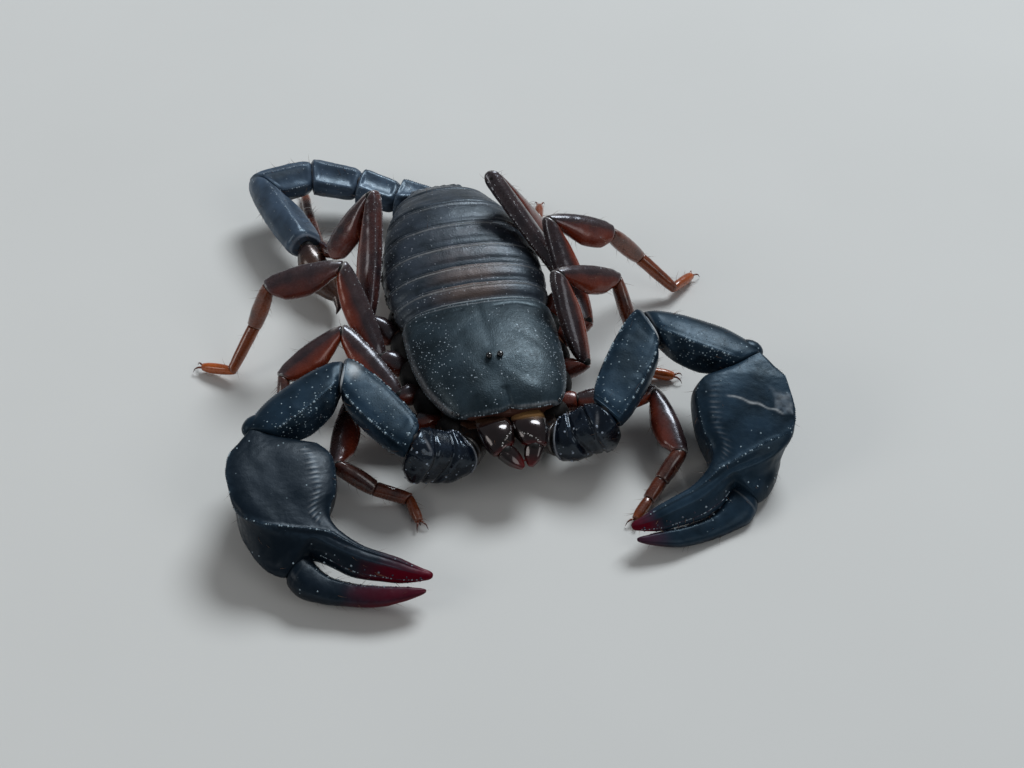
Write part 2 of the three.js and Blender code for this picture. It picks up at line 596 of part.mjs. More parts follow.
// Combs: a spine with teeth grown from it, lying against the belly behind the breastplate.
const combTeeth = 8;
for (const side of [1, -1]) {
  let comb = toManifold(limb({
    joints: [[side * 0.35, 1.85, 0.26], [side * 3.0, 3.1, 0.26]], sections: [
      { t: 0, w: 0.3, up: 0.14, dn: 0.16, n: 2.4 },
      { t: 1, w: 0.2, up: 0.12, dn: 0.14, n: 2.4 },
    ],
  }));
  for (let i = 0; i < combTeeth; i++) {
    const s = 0.3 + (0.66 * i) / (combTeeth - 1);
    const x = side * (0.35 + 2.65 * s);
    const y = 1.85 + 1.25 * s;
    comb = comb.add(toManifold(limb({
      joints: [[x, y + 0.05, 0.25], [x - side * 0.28, y + 0.8, 0.22]], sections: [
        { t: 0, w: 0.13, up: 0.1, dn: 0.12, n: 2.4 },
        { t: 1, w: 0.12, up: 0.08, dn: 0.1, n: 2.4 },
      ], count: 6,
    })));
  }
  addPiece(side > 0 ? 'comb_left' : 'comb_right', fromManifold(comb), 'belly');
}

// Tail joints from the trunk to the sting, curling to the right and forwards on the floor.
const tailJoints = [
  [-0.3, 14.24, 1.35], [-2.0, 15.05, 1.4], [-3.95, 16.1, 1.8], [-6.4, 16.95, 2.15],
  [-9.1, 16.4, 2.2], [-7.45, 11.35, 2.0],
];
const tailRoot = [-2.0, 13.48, 1.35];
const tailWidths = [1.08, 0.98, 0.95, 0.96, 1.06];
const tailDepths = [0.8, 0.7, 0.68, 0.72, 0.84];
const tailTilt = [[0, 0, 1], [0.05, -0.2, 1], [0.1, -0.45, 1], [0.35, -0.55, 0.9], [0.75, 0.1, 0.75]];
for (let i = 0; i < tailWidths.length; i++) {
  const w = tailWidths[i];
  const neck = 0.8;
  const rows = i < 4 ? [[0, neck], [0.2, 0.96], [0.6, 1.0], [0.86, 1.04], [1, 0.84]]
    : [[0, neck], [0.1, 0.94], [0.35, 1.02], [0.65, 1.0], [0.9, 0.92], [1, 0.78]];
  addPiece(`tail_${i + 1}`, limb({
    joints: [tailJoints[i], tailJoints[i + 1]],
    before: i > 0 ? tailJoints[i - 1] : tailRoot,
    after: i < 4 ? tailJoints[i + 2] : undefined,
    ups: [tailTilt[i]],
    sections: rows.map(([t, f]) => ({
      t, w: w * f, up: w * f * tailDepths[i], dn: w * f * tailDepths[i] * 0.96, n: 2.7,
    })),
    count: 12,
  }), 'plates');
}

// Sting: a swollen bulb drawn out into a curved point, folded in beside the last tail segment.
const stingPath = [
  [-7.4, 11.16, 1.98], [-7.26, 10.45, 1.66], [-6.94, 9.65, 1.26], [-6.54, 8.9, 1.02], [-6.28, 8.3, 0.9],
];
const stingSizes = [0.5, 0.74, 0.76, 0.56, 0.3];
const stingRings = [];
for (let i = 0; i < stingPath.length; i++) {
  const at = vec(stingPath[i]);
  const ahead = vec(stingPath[Math.min(i + 1, stingPath.length - 1)]);
  const behind = vec(stingPath[Math.max(i - 1, 0)]);
  const along = ahead.sub(behind).normalize();
  const side = along.clone().cross(new THREE.Vector3(0, 0, 1)).normalize();
  const up = side.clone().cross(along).normalize();
  stingRings.push(sectionCorners({ w: stingSizes[i], up: stingSizes[i], dn: stingSizes[i], n: 2 }, 10)
    .map(([x, z]) => {
      const p = at.clone().addScaledVector(side, x).addScaledVector(up, z);
      return [p.x, p.y, p.z];
    }));
}
const stingTip = vec([-6.5, 7.5, 0.62]);
const tipSide = new THREE.Vector3(-1, 0.2, 0).normalize();
stingRings.push(sectionCorners({ w: 0.1, up: 0.1, dn: 0.1, n: 2 }, 10).map(([x, z]) => {
  const p = stingTip.clone().addScaledVector(tipSide, x);
  return [p.x, p.y, p.z + z];
}));
addPiece('sting', skinRings(stingRings), 'sting');

export default group;
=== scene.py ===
import math

import bpy
import numpy as np
from mathutils import Matrix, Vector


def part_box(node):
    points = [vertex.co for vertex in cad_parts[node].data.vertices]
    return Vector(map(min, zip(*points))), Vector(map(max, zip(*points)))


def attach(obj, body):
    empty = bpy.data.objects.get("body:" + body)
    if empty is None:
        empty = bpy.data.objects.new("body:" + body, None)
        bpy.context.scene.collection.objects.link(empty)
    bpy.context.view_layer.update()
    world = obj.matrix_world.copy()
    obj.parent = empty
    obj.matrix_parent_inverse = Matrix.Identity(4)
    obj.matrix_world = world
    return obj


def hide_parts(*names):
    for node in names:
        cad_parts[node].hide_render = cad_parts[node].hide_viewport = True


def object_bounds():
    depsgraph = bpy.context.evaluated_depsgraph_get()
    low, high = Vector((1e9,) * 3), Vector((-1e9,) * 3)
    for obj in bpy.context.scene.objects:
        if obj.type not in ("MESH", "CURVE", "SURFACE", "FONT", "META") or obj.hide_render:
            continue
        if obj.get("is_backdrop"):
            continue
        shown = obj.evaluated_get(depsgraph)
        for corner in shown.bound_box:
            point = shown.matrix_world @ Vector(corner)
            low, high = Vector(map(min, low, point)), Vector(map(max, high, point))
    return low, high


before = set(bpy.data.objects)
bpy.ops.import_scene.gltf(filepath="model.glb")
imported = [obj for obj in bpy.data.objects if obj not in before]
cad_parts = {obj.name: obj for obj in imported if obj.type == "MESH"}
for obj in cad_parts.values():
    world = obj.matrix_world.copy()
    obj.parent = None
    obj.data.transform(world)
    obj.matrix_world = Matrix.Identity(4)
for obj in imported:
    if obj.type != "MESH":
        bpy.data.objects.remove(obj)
cadLow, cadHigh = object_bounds()
mm = 0.001
worldUp = np.array([0.0, 0.0, 1.0])
maskNames = ("tint", "ridge", "rim", "grain", "glint", "hairy", "skinU", "skinV")
tilesPerSide = 9


# Arithmetic shared by the pieces. Lengths are millimetres until a mesh is made.
def unit(v):
    v = np.asarray(v, float)
    return v / np.maximum(np.linalg.norm(v, axis=-1, keepdims=True), 1e-12)


def power(value, exponent):
    return np.sign(value) * np.abs(value) ** exponent


def ease(low, high, value):
    t = np.clip((value - low) / (high - low), 0.0, 1.0)
    return t * t * (3 - 2 * t)


# Rises from a to b and falls again from c to d.
def within(value, a, b, c, d):
    return ease(a, b, value) * ease(d, c, value)


def hump(value, centre, width):
    return np.exp(-(((value - centre) / width) ** 2))


def turnFrom(angle, centre):
    return (angle - centre + 180.0) % 360.0 - 180.0


# A smooth bump round one angle, in degrees.
def around(angle, centre, width):
    return hump(turnFrom(angle, centre), 0, width)


# Two axes turned together about the third, by degrees.
def rolled(first, second, degrees):
    turn = math.radians(degrees)
    return (first * math.cos(turn) + second * math.sin(turn),
            second * math.cos(turn) - first * math.sin(turn))


def aboveFloor(grid):
    grid[..., 2] = np.maximum(grid[..., 2], 0.0)
    return grid


def throughRows(rows, at):
    rows = np.asarray(rows, float)
    stations, values = rows[:, 0], rows[:, 1:]
    slope = np.diff(values, axis=0) / np.diff(stations)[:, None]
    tangent = np.vstack([slope[:1], np.zeros((len(rows) - 2, values.shape[1])), slope[-1:]])
    sameWay = slope[:-1] * slope[1:] > 0
    total = np.where(sameWay, slope[:-1] + slope[1:], 1.0)
    tangent[1:-1] = np.where(sameWay, 2 * slope[:-1] * slope[1:] / total, 0.0)
    k = np.clip(np.searchsorted(stations, at, side="right") - 1, 0, len(rows) - 2)
    span = (stations[k + 1] - stations[k])[:, None]
    u = (np.asarray(at, float) - stations[k])[:, None] / span
    return (
        (1 + 2 * u) * (1 - u) ** 2 * values[k]
        + u * (1 - u) ** 2 * span * tangent[k]
        + u * u * (3 - 2 * u) * values[k + 1]
        + u * u * (u - 1) * span * tangent[k + 1]
    )


def softNoise(points, pitch, seed):
    place = points / pitch + 31.7 * seed
    cell = np.floor(place).astype(np.int64)
    part = place - cell
    part = part * part * (3 - 2 * part)
    total = 0.0
    for corner in range(8):
        step = np.array([corner & 1, corner >> 1 & 1, corner >> 2])
        spot = cell + step
        mixed = (spot[..., 0] * 73856093) ^ (spot[..., 1] * 19349663) ^ (spot[..., 2] * 83492791)
        mixed = (mixed ^ (seed * 2654435)) & 0xFFFFFFFF
        mixed = ((mixed ^ (mixed >> 13)) * 1274126177) & 0xFFFFFFFF
        value = ((mixed ^ (mixed >> 16)) & 0xFFFF) / 32767.5 - 1
        total = total + value * np.prod(np.where(step == 1, part, 1 - part), axis=-1)
    return total


def gridNormals(grid):
    across = np.roll(grid, -1, axis=1) - np.roll(grid, 1, axis=1)
    normal = unit(np.cross(across, np.gradient(grid, axis=0)))
    outward = np.sum(normal * (grid - grid.mean(axis=1, keepdims=True)))
    return normal if outward > 0 else -normal


# A shell is a dict of points, faces, masks and the lie of the hairs.
tileCount = [0]


def closeGrid(grid, masks, tile=True):
    rings, columns = grid.shape[:2]
    index = np.arange(rings * columns).reshape(rings, columns)
    beside = np.roll(index, -1, axis=1)
    quads = np.stack([index[:-1], beside[:-1], beside[1:], index[1:]], axis=-1).reshape(-1, 4)
    poles = np.array([grid[0].mean(axis=0), grid[-1].mean(axis=0)])
    start = np.stack([np.full(columns, rings * columns), beside[0], index[0]], axis=-1)
    end = np.stack([np.full(columns, rings * columns + 1), index[-1], beside[-1]], axis=-1)
    points = np.vstack([grid.reshape(-1, 3), poles])
    tris = np.vstack([start, end])
    volume = 0.0
    for faces, k in ((tris, 1), (quads, 1), (quads, 2)):
        a, b, c = (points[faces[:, i]] for i in (0, k, k + 1))
        volume += np.sum(np.cross(a, b) * c)
    if volume < 0:
        quads, tris = quads[:, ::-1], tris[:, ::-1]
    across, down = np.meshgrid(np.linspace(0, 1, columns), np.linspace(0, 1, rings))
    spot = tileCount[0] % (tilesPerSide * tilesPerSide)
    found = {**masks, "skinU": (spot % tilesPerSide + 0.04 + 0.92 * across) / tilesPerSide,
             "skinV": (spot // tilesPerSide + 0.04 + 0.92 * down) / tilesPerSide}
    tileCount[0] += 1 if tile else 0
    flat = {}
    for name in maskNames:
        value = np.broadcast_to(found.get(name, 0.0), (rings, columns))
        flat[name] = np.concatenate([value.ravel(), [value[0].mean(), value[-1].mean()]])
    flow = unit(np.gradient(grid, axis=0)).reshape(-1, 3)
    flow = np.vstack([flow, flow[:1], flow[-1:]])
    return {"points": points, "quads": quads, "tris": tris, "masks": flat, "flow": flow}


def joinShells(shells):
    bases = np.cumsum([0] + [len(shell["points"]) for shell in shells])
    joined = {key: np.vstack([shell[key] for shell in shells]) for key in ("points", "flow")}
    for key in ("quads", "tris"):
        joined[key] = np.vstack([shell[key] + base for shell, base in zip(shells, bases)])
    joined["masks"] = {
        name: np.concatenate([shell["masks"][name] for shell in shells]) for name in maskNames
    }
    return joined


def addObject(name, data):
    made = bpy.data.objects.new(name, data)
    bpy.context.scene.collection.objects.link(made)
    return made


# Stores a value or a vector for every point of a mesh.
def addLayer(mesh, name, values):
    kind, field = ("FLOAT_VECTOR", "vector") if values.ndim > 1 else ("FLOAT", "value")
    layer = mesh.attributes.new(name, kind, "POINT")
    layer.data.foreach_set(field, values.astype(np.float32).ravel())


def makeObject(name, shell, material):
    mesh = bpy.data.meshes.new(name)
    faces = shell["quads"].tolist() + shell["tris"].tolist()
    mesh.from_pydata((shell["points"] * mm).tolist(), [], faces)
    for mask in maskNames:
        addLayer(mesh, mask, shell["masks"][mask])
    addLayer(mesh, "flow", shell["flow"])
    mesh.polygons.foreach_set("use_smooth", [True] * len(mesh.polygons))
    mesh.materials.append(material)
    return addObject(name, mesh)


# Values of a mesh layer as an array, in rows where a value has several numbers.
def readOut(items, field, kind=np.float32, wide=1):
    values = np.empty(len(items) * wide, kind)
    items.foreach_get(field, values)
    return values.reshape(-1, wide) if wide > 1 else values


# The shell of a mesh of triangles.
def shellOf(mesh):
    count = len(mesh.vertices)
    masks = {}
    for name in maskNames:
        found = name in mesh.attributes
        masks[name] = readOut(mesh.attributes[name].data, "value") if found else np.zeros(count)
    return {
        "points": readOut(mesh.vertices, "co", np.float32, 3) / mm, "quads": np.zeros((0, 4), int),
        "tris": readOut(mesh.loops, "vertex_index", np.int32).reshape(-1, 3), "masks": masks,
        "flow": np.tile([0.0, 0.0, 1.0], (count, 1)),
    }


# Node helpers: inputs are values or sockets.
def addNode(tree, kind, inputs=None, **settings):
    made = tree.nodes.new(kind)
    for key, value in settings.items():
        setattr(made, key, value)
    for key, value in (inputs or {}).items():
        if isinstance(value, bpy.types.NodeSocket):
            tree.links.new(value, made.inputs[key])
        else:
            made.inputs[key].default_value = value
    return made


# The first output of a new node.
def outOf(*node, **settings):
    return addNode(*node, **settings).outputs[0]


# A new tree with lengths and shares as inputs, then the seed and the finish.
def newTree(name, lengths):
    tree = bpy.data.node_groups.new(name, "GeometryNodeTree")
    tree.interface.new_socket("Geometry", in_out="INPUT", socket_type="NodeSocketGeometry")
    for title, value in lengths.items():
        socket = tree.interface.new_socket(title, in_out="INPUT", socket_type="NodeSocketFloat")
        socket.default_value = value
    for title, kind in (("Seed", "NodeSocketInt"), ("Finish", "NodeSocketMaterial")):
        tree.interface.new_socket(title, in_out="INPUT", socket_type=kind)
    tree.interface.new_socket("Geometry", in_out="OUTPUT", socket_type="NodeSocketGeometry")
    return tree, addNode(tree, "NodeGroupInput").outputs, addNode(tree, "NodeGroupOutput").inputs


def named(tree, name, kind="FLOAT"):
    node = addNode(tree, "GeometryNodeInputNamedAttribute", {"Name": name}, data_type=kind)
    return node.outputs["Attribute"]


def mathNode(tree, operation, a, b=0.0):
    return outOf(tree, "ShaderNodeMath", {0: a, 1: b}, operation=operation)


def times(tree, a, b):
    return mathNode(tree, "MULTIPLY", a, b)


def plus(tree, a, b):
    return mathNode(tree, "ADD", a, b)


# Stores a value on the geometry under a name.
def store(tree, geometry, name, value, domain="POINT"):
    return outOf(
        tree, "GeometryNodeStoreNamedAttribute", {"Geometry": geometry, "Name": name, "Value": value},
        data_type="FLOAT", domain=domain,
    )


# A random number between two bounds, by the tree's seed.
def roll(tree, ins, low, high):
    return addNode(
        tree, "FunctionNodeRandomValue", {2: low, 3: high, 8: ins["Seed"]}, data_type="FLOAT"
    ).outputs[1]


def standUp(tree, direction):
    return outOf(tree, "FunctionNodeAlignRotationToVector", {"Vector": direction}, axis="Z")


def putOn(tree, points, instance, rotation, scale):
    return outOf(tree, "GeometryNodeInstanceOnPoints", {
        "Points": points, "Instance": instance, "Rotation": rotation, "Scale": scale,
    })


# Size times a random factor around one.
def spreadSize(tree, ins, size):
    low = mathNode(tree, "SUBTRACT", 1.0, ins["Uneven"])
    return times(tree, size, roll(tree, ins, low, plus(tree, 1.0, ins["Uneven"])))


def domeMesh(tree, flatness):
    small = outOf(tree, "GeometryNodeMeshIcoSphere", {"Radius": 1.0, "Subdivisions": 1})
    return outOf(tree, "GeometryNodeTransform", {"Geometry": small, "Scale": (1, 1, flatness)})


# Gives every grain its own share of painted glint, a highlight painted into its colour.
def withGlint(tree, ins, geometry):
    return store(tree, geometry, "glint", roll(tree, ins, 0.0, 1.0), "INSTANCE")


def closeTree(tree, ins, outs, geometry, ridge, keep=None):
    realized = outOf(tree, "GeometryNodeRealizeInstances", {0: geometry})
    marked = store(tree, realized, "ridge", ridge)
    smooth = outOf(tree, "GeometryNodeSetShadeSmooth", {0: marked})
    if keep is not None:
        both = addNode(tree, "GeometryNodeJoinGeometry")
        tree.links.new(smooth, both.inputs[0])
        tree.links.new(keep, both.inputs[0])
        smooth = both.outputs[0]
    final = outOf(tree, "GeometryNodeSetMaterial", {"Geometry": smooth, "Material": ins["Finish"]})
    tree.links.new(final, outs[0])
    return tree


def makeBeadRow():
    tree, ins, outs = newTree("beadRow", {"Spacing": 0.1 * mm, "Size": 0.04 * mm, "Uneven": 0.25})
    line = outOf(tree, "GeometryNodeMeshToCurve", {0: ins["Geometry"]})
    dots = outOf(
        tree, "GeometryNodeResampleCurve", {"Curve": line, "Length": ins["Spacing"]}, mode="LENGTH"
    )
    turn = standUp(tree, named(tree, "outward", "FLOAT_VECTOR"))
    placed = putOn(tree, dots, domeMesh(tree, 0.85), turn, spreadSize(tree, ins, ins["Size"]))
    return closeTree(tree, ins, outs, withGlint(tree, ins, placed), 0.7)


grainsAtMost = 4.0e8  # a square metre, before the least gap thins them out


def makeGrainCover():
    tree, ins, outs = newTree("grainCover", {"Gap": 0.1 * mm, "Size": 0.03 * mm, "Uneven": 0.35})
    scatter = addNode(tree, "GeometryNodeDistributePointsOnFaces", {
        "Mesh": ins["Geometry"], "Distance Min": ins["Gap"], "Density Max": grainsAtMost,
        "Density Factor": named(tree, "grain"), "Seed": ins["Seed"],
    }, distribute_method="POISSON")
    placed = putOn(tree, scatter.outputs["Points"], domeMesh(tree, 0.6), scatter.outputs["Rotation"],
                   spreadSize(tree, ins, ins["Size"]))
    return closeTree(tree, ins, outs, withGlint(tree, ins, placed), 0.3, keep=ins["Geometry"])


def makeBristleCover():
    tree, ins, outs = newTree("bristleCover", {
        "Density": 2.0e6, "Length": 0.5 * mm, "Thickness": 0.01 * mm, "Lean": 0.9, "Uneven": 0.4,
    })
    amount = times(tree, named(tree, "hairy"), ins["Density"])
    scatter = addNode(tree, "GeometryNodeDistributePointsOnFaces", {
        "Mesh": ins["Geometry"], "Density": amount, "Seed": ins["Seed"],
    }, distribute_method="RANDOM")
    marked = outOf(
        tree, "GeometryNodeMeshCone",
        {"Vertices": 3, "Side Segments": 4, "Radius Top": 0.02, "Radius Bottom": 1.0, "Depth": 1.0},
        fill_type="TRIANGLE_FAN",
    )
    place = outOf(tree, "GeometryNodeInputPosition")
    axes = addNode(tree, "ShaderNodeSeparateXYZ", {0: place}).outputs
    for title, value in (("patchU", axes["X"]), ("patchV", axes["Z"])):
        marked = store(tree, marked, title, value)
    thin = mathNode(tree, "DIVIDE", ins["Thickness"], ins["Length"])
    bend = times(tree, times(tree, axes["Z"], axes["Z"]), 0.22)
    slimX = plus(tree, times(tree, axes["X"], thin), bend)
    slimY = times(tree, axes["Y"], thin)
    shaped = outOf(tree, "ShaderNodeCombineXYZ", {0: slimX, 1: slimY, 2: axes["Z"]})
    hair = outOf(tree, "GeometryNodeSetPosition", {"Geometry": marked, "Position": shaped})
    leaning = outOf(
        tree, "ShaderNodeVectorMath", {0: named(tree, "flow", "FLOAT_VECTOR"), "Scale": ins["Lean"]},
        operation="SCALE",
    )
    stray = outOf(
        tree, "FunctionNodeRandomValue",
        {0: (-0.35, -0.35, -0.2), 1: (0.35, 0.35, 0.35), 8: ins["Seed"]}, data_type="FLOAT_VECTOR",
    )
    leaned = outOf(tree, "ShaderNodeVectorMath", {0: scatter.outputs["Normal"], 1: leaning})
    aim = outOf(tree, "ShaderNodeVectorMath", {0: leaned, 1: stray})
    placed = putOn(tree, scatter.outputs["Points"], hair, standUp(tree, aim),
                   spreadSize(tree, ins, ins["Length"]))
    return closeTree(tree, ins, outs, placed, 0.0)


# Runs a node tree on an object and hands back the plain mesh.
def grown(source, tree, settings):
    modifier = source.modifiers.new("grow", "NODES")
    modifier.node_group = tree
    for item in tree.interface.items_tree:
        if item.item_type == "SOCKET" and item.in_out == "INPUT" and item.name in settings:
            modifier[item.identifier] = settings[item.name]
    graph = bpy.context.evaluated_depsgraph_get()
    mesh = bpy.data.meshes.new_from_object(
        source.evaluated_get(graph), preserve_all_data_layers=True, depsgraph=graph
    )
    source.modifiers.remove(modifier)
    return mesh


beadRow = makeBeadRow()
grainCover = makeGrainCover()
bristleCover = makeBristleCover()


# Mixes two colours, each three numbers or a socket.
def mixColor(tree, factor, *colors):
    a, b = (c if isinstance(c, bpy.types.NodeSocket) else (*c, 1.0) for c in colors)
    return addNode(tree, "ShaderNodeMix", {0: factor, 6: a, 7: b}, data_type="RGBA").outputs[2]


# Finishes: colours in hollows (deep), on swellings (light), of the second kind (tint), on worn
# ridges and pale rims, then the roughness from fine to coarse, and the scales and strengths.
# Some also have the colour of their gloss (sheen, and warm on the second kind), its strength (gleam),
# and the colour (glint) and share (strewn) of painted highlight specks, which speckled takes away.
looks = {
    "shell": {
        "deep": (0.005, 0.009, 0.012), "light": (0.018, 0.029, 0.038),
        "tint": (0.050, 0.016, 0.010), "ridge": (0.050, 0.072, 0.090),
        "rim": (0.26, 0.26, 0.27), "rough": (0.32, 0.5), "mottle": 800, "cells": 14000,
        "grain": 0.35, "dents": 0.35, "coat": 0.06, "coatRough": 0.3, "sheen": (0.62, 0.86, 1.0),
        "glint": (0.44, 0.50, 0.56), "gleam": 0.3,
    },
    "plates": {
        "deep": (0.006, 0.009, 0.013), "light": (0.028, 0.036, 0.050),
        "tint": (0.078, 0.052, 0.042), "ridge": (0.060, 0.070, 0.084),
        "rim": (0.46, 0.45, 0.44), "rough": (0.34, 0.52), "mottle": 1300, "cells": 14000,
        "grain": 0.45, "dents": 0.6, "coat": 0.08, "coatRough": 0.3, "sheen": (0.7, 0.86, 1.0),
        "glint": (0.34, 0.36, 0.40), "strewn": 0.1, "gleam": 0.42,
    },
    "claws": {
        "deep": (0.003, 0.007, 0.012), "light": (0.014, 0.029, 0.048),
        "tint": (0.090, 0.001, 0.008), "ridge": (0.040, 0.066, 0.095),
        "rim": (0.35, 0.36, 0.37), "rough": (0.32, 0.44), "mottle": 700, "cells": 13000,
        "grain": 0.12, "dents": 0.3, "coat": 0.05, "coatRough": 0.22, "sheen": (0.46, 0.76, 1.0),
        "warm": (1.0, 0.22, 0.32), "glint": (0.42, 0.52, 0.58), "strewn": 0.02, "gleam": 0.17,
    },
    "hips": {
        "deep": (0.002, 0.003, 0.006), "light": (0.004, 0.007, 0.013),
        "tint": (0.03, 0.02, 0.02), "ridge": (0.030, 0.045, 0.070),
        "rim": (0.30, 0.30, 0.32), "rough": (0.12, 0.28), "mottle": 1400, "cells": 7000,
        "grain": 0.5, "dents": 0.9, "coat": 0.25, "coatRough": 0.08, "sheen": (0.6, 0.80, 1.0),
        "glint": (0.46, 0.52, 0.62), "strewn": 0.16, "gleam": 0.3,
    },
    "tail": {
        "deep": (0.022, 0.034, 0.053), "light": (0.052, 0.080, 0.124),
        "tint": (0.05, 0.02, 0.015), "ridge": (0.060, 0.085, 0.12),
        "rim": (0.20, 0.21, 0.24), "rough": (0.32, 0.46), "mottle": 900, "cells": 12000,
        "grain": 0.25, "dents": 0.4, "coat": 0.15, "coatRough": 0.25, "sheen": (0.6, 0.82, 1.0),
        "glint": (0.34, 0.40, 0.46), "gleam": 0.5,
    },
    "legs": {
        "deep": (0.015, 0.007, 0.008), "light": (0.046, 0.024, 0.023),
        "tint": (0.22, 0.028, 0.006), "ridge": (0.12, 0.11, 0.12),
        "rim": (0.42, 0.40, 0.38), "rough": (0.2, 0.34), "mottle": 1000, "cells": 9000,
        "grain": 0.2, "dents": 0.25, "coat": 0.45, "coatRough": 0.14, "sheen": (0.82, 0.86, 1.0),
        "warm": (1.0, 0.62, 0.5), "glint": (0.60, 0.60, 0.62), "strewn": 0.015,
    },
    "feet": {
        "deep": (0.028, 0.008, 0.008), "light": (0.066, 0.020, 0.015),
        "tint": (0.36, 0.072, 0.008), "ridge": (0.28, 0.16, 0.12),
        "rim": (0.07, 0.015, 0.012), "rough": (0.2, 0.34), "mottle": 1200, "cells": 9000,
        "grain": 0.15, "dents": 0.2, "coat": 0.5, "coatRough": 0.14, "speckled": 0.0,
    },
    "jaws": {
        "deep": (0.004, 0.002, 0.002), "light": (0.011, 0.004, 0.004),
        "tint": (0.17, 0.090, 0.035), "ridge": (0.42, 0.40, 0.38),
        "rim": (0.11, 0.004, 0.004), "rough": (0.14, 0.22), "mottle": 900, "cells": 9000,
        "grain": 0.05, "dents": 0.1, "gleam": 0.35, "coat": 0.6, "coatRough": 0.05,
        "sheen": (1.0, 0.85, 0.85), "glint": (0.42, 0.40, 0.38), "speckled": 0.0,
    },
    "eyes": {
        "deep": (0.004, 0.004, 0.005), "light": (0.012, 0.012, 0.015),
        "tint": (0.02, 0.02, 0.03), "ridge": (0.02, 0.02, 0.02),
        "rim": (0.02, 0.02, 0.02), "rough": (0.03, 0.08), "mottle": 3000, "cells": 20000,
        "grain": 0.02, "dents": 0.0, "coat": 0.6, "coatRough": 0.05, "speckled": 0.0,
    },
    "belly": {
        "deep": (0.020, 0.010, 0.007), "light": (0.060, 0.034, 0.022),
        "tint": (0.16, 0.050, 0.018), "ridge": (0.008, 0.008, 0.011),
        "rim": (0.22, 0.17, 0.13), "rough": (0.3, 0.5), "mottle": 900, "cells": 9000,
        "grain": 0.3, "dents": 0.4, "coat": 0.3, "coatRough": 0.3,
    },
    "membrane": {
        "deep": (0.003, 0.003, 0.003), "light": (0.009, 0.007, 0.007),
        "tint": (0.06, 0.03, 0.02), "ridge": (0.07, 0.065, 0.06),
        "rim": (0.12, 0.11, 0.10), "rough": (0.45, 0.65), "mottle": 2500, "cells": 14000,
        "grain": 0.3, "dents": 1.0, "coat": 0.02, "coatRough": 0.4, "speckled": 0.0, "gleam": 0.2,
    },
    "sting": {
        "deep": (0.034, 0.012, 0.008), "light": (0.090, 0.036, 0.018),
        "tint": (0.012, 0.006, 0.007), "ridge": (0.25, 0.15, 0.09),
        "rim": (0.05, 0.02, 0.01), "rough": (0.22, 0.36), "mottle": 1100, "cells": 9000,
        "grain": 0.2, "dents": 0.3, "coat": 0.5, "coatRough": 0.18,
    },
    "bristle": {
        "deep": (0.060, 0.026, 0.014), "light": (0.18, 0.085, 0.040),
        "tint": (0.2, 0.1, 0.05), "ridge": (0.2, 0.1, 0.05),
        "rim": (0.2, 0.1, 0.05), "rough": (0.3, 0.45), "mottle": 4000, "cells": 20000,
        "grain": 0.05, "dents": 0.0, "coat": 0.2, "coatRough": 0.3,
    },
}
# A shaded copy of the claw finish for the right hand: its darker light colour is painted shade, and it is
# duller.
looks["shadedClaws"] = {**looks["claws"], "light": (0.007, 0.012, 0.019), "gleam": 0.12,
                      "sheen": (0.7, 0.85, 1.0)}
speckScale = 5000


